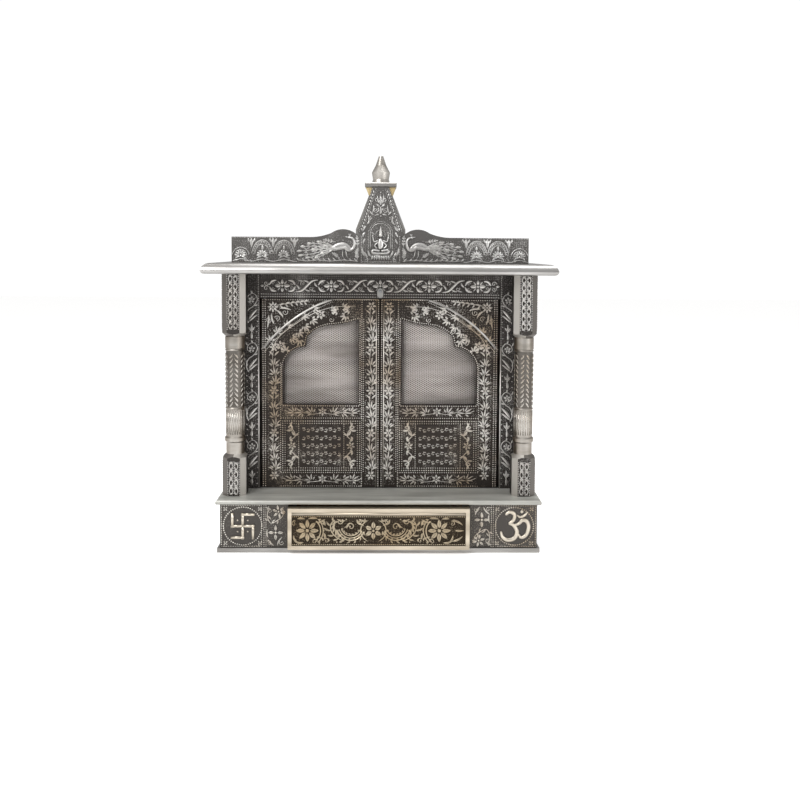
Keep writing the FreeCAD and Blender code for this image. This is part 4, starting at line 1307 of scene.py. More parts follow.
    def add_panel(self, finishes: Finishes) -> None:
        """Relief of the lower panel: bead frames, leafy side strips and ornament rows."""
        relief = Embossing(front(self.panel_y, self.side))
        bead_frame(relief, (27.0, 93.7), (131.6, 161.3), 3.1, 1.05)
        bead_frame(relief, (30.2, 96.9), (128.4, 158.1), 3.1, 0.9)
        for u in (48.6, 110.0):
            relief.bead_row([(u, 98.6), (u, 156.4)], 2.6, 0.9)
        for u, hand in ((39.4, 1.0), (119.2, -1.0)):
            relief.seeds((u - 7.0, 99.0), (u + 7.0, 156.0), 2.8, 0.4)
            relief.flowers([(u, 127.5)], 6.0, 6, 0.3, 1.0)
            for lift in HANDS:
                stem = smooth([(-3.0, 7.0), (4.4, 13.0), (2.0, 21.0), (-4.6, 25.4), (0.0, 28.0)], 6)
                stem = stem * (hand, lift) + (u, 127.5)
                relief.ridge(stem, 0.75, 0.9)
                relief.plumes(stem, hand * lift, 4, 9.0, 1.6)
                relief.plumes(stem, -hand * lift, 4, 6.0, 1.4)
        relief.on(front(self.field_y, self.side))
        rows = np.linspace(149.6, 105.6, 5)
        for row, v in enumerate(rows):
            scroll = Band((52.4, v), (106.2, v), 3.6)
            marks = scroll.marks(9)
            hands = np.where((np.arange(9) + row) % 2 == 0, 1.0, -1.0)
            relief.curls(scroll.at(marks, 0.0), 2.7, scroll.heading + hands * 0.9, hands, 0.5, 0.8, 0.5)
            relief.leaves(scroll.at(marks - 2.4, 0.8 * hands), scroll.at(marks + 2.4, 0.6 * hands), 0.55,
                          0.1, 0.6)
            relief.beads(scroll.at(marks[:-1] + 3.0, 0.0), 0.55, 0.6)
        relief.piece(f"{self.leaf}_panel_relief", self.leaf, "embossed_metal", finishes.deep)

    def add_mesh(self, finishes: Finishes) -> None:
        """A diamond lattice of flat strands with a hemmed edge, in place of the mesh sheet.

        Strands lie on u + v / slope = k * pitch and u - v / slope = k * pitch, cut by the sheet's edges.
        """
        relief = Embossing(front(self.mesh_front, self.side))
        inset, slope, pitch = 0.8, self.mesh_slope, self.mesh_pitch
        low, high = np.array(self.mesh_low) + inset, np.array(self.mesh_high) - inset
        width, height = high - low
        for hand, level in ((1.0, -0.35), (-1.0, -0.5)):
            offsets = np.arange(pitch * 0.5, width + height / slope, pitch)
            first_u = offsets - height / slope
            starts_u = np.clip(first_u, 0.0, width)
            ends_u = np.clip(offsets, 0.0, width)
            keep = (ends_u - starts_u) > 0.5
            starts_u, ends_u, reach = starts_u[keep], ends_u[keep], offsets[keep]
            starts_v, ends_v = (reach - starts_u) * slope, (reach - ends_u) * slope
            if hand < 0:
                starts_v, ends_v = height - starts_v, height - ends_v
            paths = np.stack([np.stack([starts_u, starts_v], -1), np.stack([ends_u, ends_v], -1)],
                             axis=1) + low
            levels = paths[..., 1]
            inside = ((levels >= low[1] - 0.01) & (levels <= high[1] + 0.01)).all(axis=1)
            self.add_strands(relief, paths[inside], level)
        edge = box_path(low, high)
        for first, last in zip(edge[:-1], edge[1:]):
            self.add_strands(relief, np.array([[first, last]]), -0.4, 1.2)
        relief.piece(f"{self.leaf}_lattice", self.leaf, "mesh_metal", finishes.mesh,
                     (f"door_mesh_{side_name(self.side)}",))

    def add_strands(self, relief: Embossing, paths: Array, level: float,
                    width: float | None = None) -> None:
        """Flat bars between point pairs: four corners at each end, closed all round.

        Args:
            relief: the relief that receives them.
            paths: (n, 2, 2) ends.
            level: height of the bars' faces from the sheet's front.
            width: bar width, the strand width where none is given.
        """
        half = (width or self.strand) / 2
        along = paths[:, 1] - paths[:, 0]
        along = along / np.linalg.norm(along, axis=1, keepdims=True)
        side = rightward(along)[:, None] * half
        rims = np.stack([paths - side, paths + side], axis=2)
        top = np.concatenate([rims, np.full(rims.shape[:3] + (1,), level + 0.15)], axis=-1)
        low = np.concatenate([rims, np.full(rims.shape[:3] + (1,), level - 0.15)], axis=-1)
        corners = np.concatenate([top, low], axis=2).reshape(len(paths), 8, 3)
        box = np.array([[0, 1, 5, 4], [2, 3, 1, 0], [6, 7, 3, 2], [4, 5, 7, 6], [0, 4, 6, 2], [1, 3, 7, 5]])
        faces = (np.arange(len(paths)) * 8)[:, None, None] + box[None]
        relief.add(corners, np.full(corners.shape[:-1], 0.8), [faces.reshape(-1, 4)])

    def build(self, finishes: Finishes) -> None:
        """Builds every piece of the leaf."""
        self.add_frame(finishes)
        self.add_panel(finishes)
        self.add_mesh(finishes)


# Front wall, columns and base

@dataclass(frozen=True)
class FacadeLook:
    """Relief of the lintel and of the wall strips beside the doors."""

    face_y: float = -50.0
    band_low: float = 336.8
    band_high: float = 353.6
    reach: float = 160.0
    period: float = 66.0
    jamb_inner: float = 163.8
    jamb_outer: float = 182.5
    foot: float = 69.0
    head: float = 361.0

    def build_lintel(self, finishes: Finishes) -> None:
        """Flowers in lenses of scrolls with slanting leaves between, over rows of beads."""
        relief = Embossing(front(self.face_y))
        middle = (self.band_low + self.band_high) / 2
        centres = np.array([(k * self.period, middle) for k in (-2, -1, 0, 1, 2)])
        relief.seeds((-self.reach, 335.6), (self.reach, 354.6), 3.2, 0.4)
        relief.beads(centres, 1.9, 1.2, 8)
        for hand in HANDS:
            relief.leaves(centres + (hand * 2.0, 0.0), centres + (hand * 10.4, 0.0), 3.0, 0.0, 1.1)
            relief.leaves(centres + (0.0, hand * 2.0), centres + (0.0, hand * 8.6), 2.2, 0.0, 1.1)
            for lift in HANDS:
                relief.leaves(centres + (hand * 2.4, lift * 1.8), centres + (hand * 6.4, lift * 6.6), 0.9,
                              0.0, 0.8)
                hooks = smooth([(8.0, 7.2), (14.0, 6.2), (17.4, 1.0)], 6) * (hand, lift)
                swell = 0.6 + 1.3 * np.sin(np.linspace(0, math.pi, len(hooks)))
                relief.strokes(centres[:, None] + hooks[None], swell, 1.1)
                relief.curls(centres + (hand * 12.4, lift * 3.0), 2.4, 0.3 * lift, -hand * lift, 0.5, 0.8)
        links = centres[:-1] + (self.period / 2, 0.0)
        sweep = smooth([(-15.0, -8.0), (-7.0, -6.4), (0.0, 0.0), (7.0, 6.4), (15.0, 8.0)], 5)
        width = 0.5 + 1.5 * np.sin(np.linspace(0, math.pi, len(sweep)))
        relief.strokes(links[:, None] + sweep[None], width, 1.0)
        for hand in HANDS:
            relief.curls(links + (hand * 5.4, -hand * 3.2), 3.2, 0.6 + (hand < 0) * math.pi, -1.0, 0.6, 1.0)
            relief.leaves(links + (hand * 10.0, hand * 5.0), links + (hand * 14.6, -hand * 1.6), 1.2, 0.2)
            relief.leaves(links + (hand * 3.0, hand * 4.0), links + (-hand * 5.0, hand * 7.0), 1.2, 0.2)
            relief.leaves(links + (hand * 12.0, -hand * 7.6), links + (hand * 5.0, -hand * 6.6), 0.9, 0.1)
        for hand in HANDS:
            ends = np.array([hand * (2 * self.period + 21.6), middle])
            relief.curls([ends + (0.0, 3.4), ends - (0.0, 3.4)], 3.6, [0.0, 0.6], [hand, -hand], 0.9, 1.0,
                         1.1)
            relief.leaves(ends + (hand * 3.0, 0.0), ends + (hand * 8.0, 0.0), 1.8, 0.0, 1.1)
        for v in (330.4, 334.0):
            relief.bead_row([(-self.reach, v), (self.reach, v)], 2.4, 0.9, 0.8)
        # Painted shade: the three bead rows under the cornice get dim crowns (tone 0.4) for the cornice's
        # shadow over them.
        for v in (355.6, 358.2, 360.6):
            relief.beads(spaced(np.array([(-self.reach, v), (self.reach, v)]), 2.4), 0.75, 0.6, 6, 0.4)
        relief.piece("lintel_relief", "cabinet", "embossed_metal", finishes.embossed)

    def build_jamb(self, side: float, finishes: Finishes) -> None:
        """A scrolling vine between bead rows beside a door."""
        relief = Embossing(front(self.face_y, side))
        centre = (self.jamb_inner + self.jamb_outer) / 2
        turn = 66.6
        foots = np.array([(centre, self.foot + 4.0 + turn * k) for k in range(4)])
        spiral = smooth([(4.6, 22.0), (7.2, 30.0), (5.0, 39.0), (-3.0, 45.6), (-7.6, 54.0), (-3.0, 61.4),
                         (4.0, 59.4),
                         (6.0, 52.4), (0.6, 48.4)], 5)
        relief.seeds((centre - 8.6, self.foot + 1.0), (centre + 10.6, self.head - 1.0), 2.9, 0.4)
        relief.strokes(foots[:, None] + spiral[None], 0.8 - 0.3 * np.linspace(0, 1, len(spiral)), 1.0)
        relief.flowers(foots + (0.4, 53.6), 4.8, 5, 0.4, 1.1, 1.0)
        for root, tip, width in (((4.6, 26.0), (-7.8, 40.4), 2.0), ((4.6, 23.0), (-8.0, 33.0), 1.7),
                                 ((5.6, 30.0), (8.2, 41.0), 1.0), ((-3.4, 45.0), (-8.2, 46.6), 1.0),
                                 ((0.0, 0.0), (0.0, 9.6), 2.0), ((0.0, 11.0), (-4.2, 16.6), 1.5),
                                 ((0.0, 11.0), (4.2, 16.6), 1.5), ((0.0, 12.0), (0.0, 21.0), 1.7),
                                 ((6.0, 58.0), (8.2, 63.6), 1.0), ((-1.0, 61.6), (1.0, 66.0), 1.2)):
            relief.leaves(foots + root, foots + tip, width, 0.12)
        dots = np.array([(-6.4, 10.0), (6.4, 10.0), (-7.0, 17.6), (7.0, 17.0), (-6.6, 2.0), (6.6, 2.0),
                         (-7.8, 24.0)])
        relief.beads((foots[:, None] + dots[None]).reshape(-1, 2), 1.0, 0.9)
        relief.beads(foots + (0.0, 10.4), 1.3, 1.0)
        edge = self.jamb_inner + 0.2
        relief.bars([(edge, self.foot + 1.0), (edge, 262.0)], 1.0, 0.5, Section.ROUND)
        relief.bead_row([(edge, 263.0), (edge, self.head)], 2.4, 0.8)
        outer = centre + 13.0
        relief.bead_row([(outer, self.foot + 1.6), (outer, self.head)], 2.4, 0.9)
        name = side_name(side)
        relief.piece(f"jamb_{name}_relief", "cabinet", "embossed_metal", finishes.embossed)

    def build(self, finishes: Finishes) -> None:
        """Builds the lintel and both strips."""
        self.build_lintel(finishes)
        self.build_jamb(-1.0, finishes)
        self.build_jamb(1.0, finishes)


@dataclass(frozen=True)
class ColumnLook:
    """Relief of one turned column."""

    side: float
    centre_x: float = COLUMN_X
    centre_y: float = -74.6
    block_half: float = 15.4
    flat_half: float = 8.2
    shaft_radius: float = 12.2
    base_low: float = 70.5
    base_high: float = 114.5
    head_low: float = 289.5
    head_high: float = 360.5

    def faces(self) -> list[FlatGround]:
        """The block's front and its outer side."""
        x = self.side * self.centre_x
        front = FlatGround((x, self.centre_y - self.block_half, 0.0))
        outer = FlatGround((x + self.side * self.block_half, self.centre_y, 0.0), (0.0, self.side, 0.0),
                           (0.0, 0.0, 1.0), (self.side, 0.0, 0.0))
        return [front, outer]

    def fill_block(self, relief: Embossing, low: float, high: float, tiers: int) -> None:
        """Stacked lenses of scrolls and leaves between two bead rows.

        Args:
            relief: the relief that receives them.
            low: foot of the face.
            high: head of the face.
            tiers: number of lenses.
        """
        for u in (-self.flat_half + 0.7, self.flat_half - 0.7):
            relief.bead_row([(u, low), (u, high)], 2.3, 0.85)
        pace = (high - low) / tiers
        rows = low + (np.arange(tiers) + 0.5) * pace
        centres = np.stack([np.zeros(tiers), rows], axis=-1)
        relief.flowers(centres, 3.4, 4, math.pi / 4, 0.9)
        for hand in HANDS:
            relief.arcs(centres, 5.6, math.pi / 2, hand * math.pi * 0.95, 0.75, 0.9)
            relief.curls(centres + np.array([hand * 3.9, pace * 0.36]), 2.2, 0.4, -hand, 0.5, 0.8)
            relief.leaves(centres + np.array([0.0, pace * 0.28]),
                          centres + np.array([hand * 5.6, pace * 0.52]), 0.9,
                          0.2 * hand)
            relief.leaves(centres + np.array([0.0, -pace * 0.28]),
                          centres + np.array([hand * 5.4, -pace * 0.5]), 0.9,
                          -0.2 * hand)

    def fill_shaft(self, relief: Embossing) -> None:
        """Rows of slanting leaves round the shaft, and flutes round its lower band."""
        relief.on(RoundGround(self.side * self.centre_x, self.centre_y, self.shaft_radius))
        around = TAU * self.shaft_radius
        columns, rows = 10, 11
        pace = around / columns
        u, v = np.meshgrid((np.arange(columns) + 0.5) * pace - around / 2, 189.5 + np.arange(rows) * 6.4)
        starts = np.stack([u.ravel(), v.ravel()], axis=-1)
        flip = np.where(np.arange(columns) % 2 == 0, 1.0, -1.0)
        lean = np.stack([np.tile(flip, rows) * pace * 0.62, np.full(columns * rows, 6.6)], axis=-1)
        relief.leaves(starts - lean * 0.4, starts + lean * 0.6, 1.15, 0.1, 0.8)
        low, high = 150.0, 182.0
        flutes = 24
        marks = (np.arange(flutes) + 0.5) * around / flutes - around / 2
        ends = np.stack([np.stack([marks, np.full(flutes, low)], -1),
                         np.stack([marks, np.full(flutes, high)], -1)], 1)
        relief.strokes(ends, 0.75, 0.45, Section.ROUND, 0.9)

    def build(self, finishes: Finishes) -> None:
        """Builds the column's pieces."""
        name = side_name(self.side)
        relief = Embossing(self.faces()[0])
        for face in self.faces():
            relief.on(face)
            self.fill_block(relief, self.base_low, self.base_high, 4)
            self.fill_block(relief, self.head_low, self.head_high, 7)
        relief.piece(f"column_{name}_blocks_relief", "cabinet", "embossed_metal", finishes.embossed)
        shaft = Embossing(self.faces()[0])
        self.fill_shaft(shaft)
        shaft.piece(f"column_{name}_shaft_relief", "cabinet", "plain_metal", finishes.shaft)


@dataclass(frozen=True)
class BaseLook:
    """Relief of the base's front, with a sign in each corner square."""

    face_y: float = -106.0
    foot: float = 6.0
    head: float = 63.0
    square_inner: float = 151.5
    square_outer: float = 206.0
    strip_inner: float = 120.5
    strip_outer: float = 150.0
    centre: float = 177.0
    centre_z: float = 34.4
    ring: float = 25.0

    def build_corner(self, side: float, finishes: Finishes) -> None:
        """A beaded square with a beaded circle, and a narrow panel with a flower and a vine."""
        relief = Embossing(front(self.face_y, side))
        bead_frame(relief, (self.square_inner + 1.2, self.foot + 1.6),
                   (self.square_outer - 1.4, self.head - 1.4), 2.3, 0.9)
        relief.seeds((self.strip_inner, self.foot + 1.0), (self.strip_outer, self.head - 1.0), 3.0, 0.45)
        for a in HANDS:
            for b in HANDS:
                spandrel = np.array([self.centre + a * 20.6, self.centre_z + b * 20.6])
                relief.seeds(tuple(spandrel - 6.0), tuple(spandrel + 6.0), 2.6, 0.5)
        bead_count = 54
        circle = rays(np.arange(bead_count) * TAU / bead_count)
        relief.beads((self.centre, self.centre_z) + circle * self.ring, 1.25, 1.1)
        corners = [(self.centre + a * 22.4, self.centre_z + b * 22.6) for a in (-1, 1) for b in (-1, 1)]
        relief.flowers(corners, 3.4, 4, math.pi / 4, 0.8)
        rim = self.strip_outer - 0.6
        for u in (rim, rim - 2.6):
            relief.bead_row([(u, self.foot + 1.6), (u, self.head - 1.4)], 2.5, 0.9)
        middle = (self.strip_inner + self.strip_outer) / 2 - 1.0
        flip = side
        place = np.array([middle, self.centre_z])
        turn = np.array([1.0, -flip])
        relief.flowers(place + turn * (0.0, -8.6), 9.8, 4, 0.0, 1.2, 0.62)
        relief.flowers(place + turn * (-4.0, 19.0), 8.6, 6, 0.3, 1.1, 0.8)
        stem = smooth([(9.0, 26.0), (10.4, 12.0), (6.0, 4.0), (-3.0, 8.0), (-9.4, 14.0), (-10.0, 22.0)],
                      6) * turn + place
        relief.ridge(stem, 0.7, 1.0)
        relief.plumes(stem, flip, 5, 7.0, 1.1)
        relief.plumes(stem[::-1], flip, 4, 6.0, 1.0)
        relief.curls(place + turn * np.array([(8.6, -22.4), (-8.0, -22.0), (8.0, 20.0)]), 3.6, 0.6,
                     [1.0, -1.0, 1.0],
                     0.6, 1.0)
        relief.leaves(place + turn * np.array([(2.0, -26.0), (-2.0, -26.0), (9.6, -16.0)]),
                      place + turn * np.array([(10.8, -15.6), (-9.0, -14.0), (10.6, -4.0)]), 1.1, 0.2)
        name = side_name(side)
        relief.piece(f"base_front_{name}_relief", "cabinet", "embossed_metal", finishes.deep)

    def build_swastika(self, finishes: Finishes) -> None:
        """The sign of good fortune: a cross with arms bent to the right, and a dot in each quarter."""
        sign = Embossing(FlatGround((-self.centre, self.face_y, self.centre_z)))
        reach, rise, half = 13.4, 15.2, 1.95
        for hand in HANDS:
            upright = np.array([(0.0, 0.0), (0.0, rise + half)]) * hand
            top = np.array([(-half, rise), (reach + half, rise)]) * hand
            level = np.array([(0.0, 0.0), (reach + half, 0.0)]) * hand
            drop = np.array([(reach, half), (reach, -rise - half)]) * hand
            for bar, proud in ((upright, 1.6), (top, 1.66), (level, 1.66), (drop, 1.6)):
                sign.bars(bar, half, proud)
            sign.beads(np.array([(6.6, 7.4), (-6.6, 7.4)]) * hand, 1.2, 1.1, 8)
        sign.piece("swastika_sign", "cabinet", "plain_metal", finishes.signs)

    def build_om(self, finishes: Finishes) -> None:
        """The sacred syllable: two bows of a three, a tail, a crescent and a dot."""
        sign = Embossing(FlatGround((self.centre, self.face_y, self.centre_z)))
        upper = smooth([(-11.8, 15.3), (-5.9, 19.0), (0.0, 15.3), (-1.5, 8.0), (-7.4, 3.5)], 7)
        lower = smooth([(-7.4, 3.5), (-1.5, 1.5), (3.4, -6.8), (0.0, -15.8), (-8.9, -18.2), (-15.4, -14.2),
                        (-17.6, -6.8)], 7)
        tail = smooth([(-1.5, 1.5), (5.9, 3.5), (10.3, 8.0), (16.2, 6.5), (18.6, -0.9), (15.6, -11.2),
                       (8.9, -15.0),
                       (5.0, -9.7)], 7)
        moon = smooth([(3.0, 15.3), (7.4, 12.4), (13.3, 14.6), (16.8, 19.4)], 7)
        for path, widest, blunt in ((upper, 2.7, 0.5), (lower, 3.2, 0.35), (tail, 3.0, 0.3),
                                    (moon, 1.9, 0.2)):
            t = np.linspace(0.0, 1.0, len(path))
            sign.strokes(path[None], widest * (blunt + (1 - blunt) * np.sin(np.pi * t).clip(0.0) ** 0.6),
                         1.6)
        sign.beads([(9.6, 19.4)], 2.3, 1.6, 10)
        sign.piece("om_sign", "cabinet", "plain_metal", finishes.signs)

    def build(self, finishes: Finishes) -> None:
        """Builds both corners and their signs."""
        self.build_corner(-1.0, finishes)
        self.build_corner(1.0, finishes)
        self.build_swastika(finishes)
        self.build_om(finishes)


@dataclass(frozen=True)
class DrawerLook:
    """Relief of the drawer front's sunk field."""

    field_y: float = FIELD_Y
    low: Point = (-FIELD_HALF, FIELD_LOW)
    high: Point = (FIELD_HALF, 51.9)
    lip_high: float = FIELD_HIGH
    centre: float = -7.0

    def add_scroll(self, relief: Embossing) -> None:
        """One half of the ornament: a bowl of leaves, a leafy bracket, and a large flower.

        Args:
            relief: the relief, on a ground measured outward from the middle flower.
        """
        relief.arcs([(2.0, 0.0)], 14.4, -1.25, 2.5, 1.0, 1.1, 14)
        for reach, width in ((12.6, 0.8), (15.6, 0.9), (18.6, 1.1)):
            bowl = arc((29.0, 6.0), reach, -2.75, 2.5, 16)
            relief.ridge(bowl, width, 1.2)
            relief.plumes(bowl, 1.0 if reach < 13 else -1.0, 7, 6.4 if reach > 18 else 4.4, 1.1, 0.7)
        relief.leaves([(8.0, 13.0), (22.0, 14.6), (36.0, 13.0), (31.0, 10.0)],
                      [(19.0, 15.4), (12.0, 7.0), (47.0, 15.4), (38.0, 4.0)], 1.5,
                      [0.2, -0.3, 0.2, 0.3], 1.2)
        relief.curls([(29.0, 5.4), (17.6, 11.6), (43.0, 12.0)], [5.6, 3.6, 4.0], [-0.4, 0.8, 2.4],
                     [1.0, -1.0, 1.0], 1.0, 1.1, 1.2)
        sweep = smooth([(38.0, -13.6), (47.0, -9.0), (54.0, -1.0), (55.0, 8.0), (50.0, 14.0)], 6)
        relief.ridge(sweep, 0.9, 1.2)
        relief.plumes(sweep, 1.0, 7, 11.0, 1.5, 0.75)
        relief.plumes(sweep, -1.0, 6, 9.0, 1.4, 0.8)
        for reach, width in ((17.0, 1.1), (20.4, 0.9)):
            bracket = arc((85.0, 0.0), reach, 2.3, 1.7, 14)
            relief.ridge(bracket, width, 1.2)
        relief.plumes(bracket, -1.0, 6, 6.4, 1.2, 0.7)
        relief.plumes(smooth([(57.0, -14.4), (66.0, -10.0), (72.0, -14.6)], 6), 1.0, 4, 7.0, 1.2)
        relief.leaves([(62.0, 15.0), (72.0, 15.6), (66.0, 14.6), (98.0, 15.4), (98.0, -15.4),
                       (90.0, -15.6)],
                      [(75.0, 11.0), (84.6, 15.0), (62.0, 6.0), (88.0, 15.0), (103.0, -6.0),
                       (102.0, -13.6)], 1.6,
                      [0.25, -0.2, 0.2, 0.2, 0.25, 0.2], 1.2)
        relief.flowers([(85.0, 0.0)], 14.6, 8, math.pi / 2, 1.4, 1.15)
        relief.curls([(102.0, 9.4), (60.6, -13.0), (75.4, -14.2)], 3.6, [2.0, 0.6, 2.6], [-1.0, 1.0, -1.0],
                     0.8, 1.0, 1.1)
        relief.beads([(11.0, 15.0), (11.0, -15.0), (35.0, 14.8), (63.6, 0.0), (47.0, -15.0), (98.6, 0.6)],
                     1.1, 1.0)

    def build_lip(self, finishes: Finishes) -> None:
        """The plain band between the sunk ornament and the top border."""
        lip = Embossing(front(self.field_y))
        level, half = (self.high[1] + self.lip_high) / 2, (self.lip_high - self.high[1]) / 2
        lip.ridge(np.array([(self.low[0], level), (self.high[0], level)]), half, 1.45, Section.FLAT)
        lip.piece("drawer_lip", "drawer", "drawer_metal", finishes.champagne)

    def build(self, finishes: Finishes) -> None:
        """Bead rows over and under leafy scrolls that mirror each other beside a middle flower."""
        relief = Embossing(front(self.field_y))
        middle = (self.low[1] + self.high[1]) / 2
        for v in (self.low[1] + 1.4, self.high[1] - 1.4):
            relief.bead_row([(self.low[0] + 1.5, v), (self.high[0] - 1.5, v)], 2.5, 1.0)
        relief.seeds((self.low[0] + 2.0, self.low[1] + 3.0), (self.high[0] - 2.0, self.high[1] - 3.0), 3.4,
                     0.35)
        relief.on(FlatGround((self.centre, self.field_y, middle)))
        relief.flowers([(0.0, 0.0)], 11.4, 6, math.pi / 2, 1.3, 1.15)
        for hand in HANDS:
            relief.on(FlatGround((self.centre, self.field_y, middle), across=(hand, 0.0, 0.0)))
            self.add_scroll(relief)
        relief.leaves([(101.0, -14.0), (101.0, 14.0), (105.0, 0.0)],
                      [(115.4, -7.0), (115.4, 7.0), (117.0, 0.0)], 1.6,
                      [0.2, -0.2, 0.0], 1.2)
        relief.piece("drawer_front_relief", "drawer", "drawer_metal", finishes.bronze)
        self.build_lip(finishes)


# Parapet, spire and walls

@dataclass(frozen=True)
class CrestLook:
    """Relief of one parapet board: trellised arches with fans, and a peacock by the spire."""

    side: float
    face_y: float = -50.0
    foot: float = 376.0
    head: float = 410.8
    outer: float = 199.2
    arch_centres: tuple[float, ...] = (187.6, 158.6, 129.6)

    def add_arches(self, relief: Embossing) -> None:
        """Three arches of double lattice, each over a fan of petals on a wavy garland."""
        centres = np.array([(u, self.foot + 9.4) for u in self.arch_centres])
        reaches = np.array([[11.2, 11.2], [14.2, 21.0], [14.2, 21.0]])
        for share, width in ((1.0, 0.6), (0.72, 0.5)):
            angle = np.linspace(0.1, math.pi - 0.1, 18)
            relief.strokes(centres[:, None] + rays(angle)[None] * reaches[:, None] * share, width, 0.9)
        angle = np.linspace(0.25, math.pi - 0.25, 15)
        for lean in (-0.16, 0.16):
            starts = centres[1:, None] + rays(angle)[None] * reaches[1:, None] * 0.74
            ends = centres[1:, None] + rays(angle + lean)[None] * reaches[1:, None] * 0.97
            relief.strokes(np.stack([xy(starts), xy(ends)], axis=1), 0.36, 0.6)
        petals = np.linspace(0.12, math.pi - 0.12, 7)
        fan = rays(petals)
        relief.leaves(xy(centres[:, None] + fan * 1.8), xy(centres[:, None] + fan * 8.6), 1.35, 0.0, 1.2)
        relief.leaves(centres[1:] + (0.0, 8.0), centres[1:] + (0.0, 14.4), 1.6, 0.0, 1.0)
        relief.beads(centres, 1.7, 1.2)
        for hand in HANDS:
            relief.leaves(centres + (0, -1.0), centres + (hand * 8.0, -4.6), 1.2, -0.25 * hand, 1.0)
            relief.curls(centres + (hand * 5.6, -5.6), 2.0, 0.6, -hand, 0.45, 0.9)
        drips = np.array([(u, self.head - 1.4) for u in (173.1, 144.1, 115.4)])
        relief.leaves(drips, drips - (0, 13.0), 2.3, 0.0, 1.0)
        relief.leaves(drips + (-4.6, -0.2), drips + (-0.4, -6.0), 1.3, 0.3, 0.9)
        relief.leaves(drips + (4.6, -0.2), drips + (0.4, -6.0), 1.3, -0.3, 0.9)
        along = np.linspace(112.0, 198.6, 60)
        wave = self.foot + 3.4 + 1.5 * np.cos((along - 158.6) * TAU / 29.0)
        relief.ridge(np.stack([along, wave], axis=-1), 0.6, 0.9)
        relief.bead_row([(112.0, self.head - 1.0), (self.outer - 0.8, self.head - 1.0)], 2.2, 0.7)

    def add_peacock(self, relief: Embossing) -> None:
        """A standing peacock that looks back over its long train, on a leafy bank."""
        neck = smooth([(49.0, 398.6), (43.0, 393.4), (37.4, 395.4), (35.0, 402.0), (36.8, 408.4),
                       (41.6, 410.8)], 6)
        t = np.linspace(0.0, 1.0, len(neck))
        relief.strokes(neck[None], 3.4 - 2.1 * t, 1.6)
        relief.beads([(42.2, 410.6)], 2.1, 1.8, 8)
        relief.leaves([(43.4, 411.0)], [(47.4, 411.8)], 0.8, 0.1, 1.4)
        crown = rays(np.array([1.2, 1.6, 2.0]))
        relief.leaves([(41.4, 412.0)] * 3, (41.4, 412.0) + crown * 4.0, 0.45, 0.0, 1.0)
        body = smooth([(40.5, 395.0), (49.0, 399.6), (59.0, 398.0), (66.0, 394.0)], 5)
        relief.strokes(body[None], 1.0 + 4.6 * np.sin(np.linspace(0.25, math.pi - 0.1, len(body))), 1.8,
                       Section.VEINED)
        wings = np.linspace(0.0, 1.0, 4)[:, None]
        relief.leaves((46.0, 400.0) + wings * (9.0, -1.0), (54.0, 394.6) + wings * (12.0, -1.4), 1.5, 0.3,
                      2.0)
        relief.ridge([(47.0, 393.4), (45.4, 386.0), (43.8, 383.0)], 0.8, 1.2)
        relief.ridge([(51.0, 393.0), (51.0, 386.0), (49.0, 382.6)], 0.8, 1.2)
        ends = np.array([(84.0, 404.6), (97.0, 402.4), (106.0, 398.0), (110.6, 391.8), (109.0, 385.6),
                         (100.0, 382.4),
                         (88.0, 382.6), (92.0, 394.0), (80.0, 388.6), (76.0, 399.0)])
        roots = np.repeat([(60.0, 396.6)], len(ends), axis=0)
        bows = (roots + ends) / 2 + np.stack([np.zeros(10), (ends[:, 1] - 393.0) * 0.28], axis=-1)
        relief.strokes(bezier(roots, bows, ends, 10), np.linspace(0.9, 0.5, 10), 1.1)
        toward = (ends - roots) / np.linalg.norm(ends - roots, axis=1, keepdims=True)
        relief.leaves(ends - toward * 5.0, ends + toward * 2.2, 2.0, 0.0, 1.3)
        share = np.array([0.35, 0.55, 0.75])
        marks = (roots[:, None] + (ends - roots)[:, None] * share[None, :, None]).reshape(-1, 2)
        side = np.repeat(np.stack([toward[:, 1], -toward[:, 0]], axis=-1), 3, axis=0)
        forward = np.repeat(toward, 3, axis=0)
        for hand in HANDS:
            relief.leaves(marks, marks + forward * 5.2 + side * hand * 2.6, 0.8, 0.2 * hand, 1.0)
        bank = smooth([(112.0, 380.4), (98.0, 378.6), (84.0, 380.2), (68.0, 378.6), (50.0, 380.0),
                       (30.0, 378.4)], 6)
        relief.ridge(bank, 0.6, 0.9)
        feet = np.linspace(31.0, 108.0, 12)
        relief.leaves(np.stack([feet, np.full(12, 378.8)], -1),
                      np.stack([feet + 4.6, np.full(12, 383.0)], -1), 1.1, 0.2)
        relief.sprays([(30.6, 380.0), (34.0, 385.0), (55.0, 383.0)], [1.4, 1.9, 0.6], 9.0, 3, 4.0, 1.0, 0.8)
        relief.sprays([(60.0, 404.6), (30.6, 396.0)], [0.15, 1.5], 14.0, 3, 4.4, 1.0, 0.7)

    def build(self, finishes: Finishes) -> None:
        """Builds the relief."""
        relief = Embossing(front(self.face_y, self.side))
        relief.seeds((112.0, self.foot + 1.0), (self.outer, self.head - 2.0), 2.7, 0.55)
        relief.seeds((30.6, self.foot + 1.0), (112.0, self.head - 2.4), 3.0, 0.5)
        self.add_arches(relief)
        self.add_peacock(relief)
        name = side_name(self.side)
        relief.piece(f"crest_{name}_relief", "cabinet", "embossed_metal", finishes.crest)


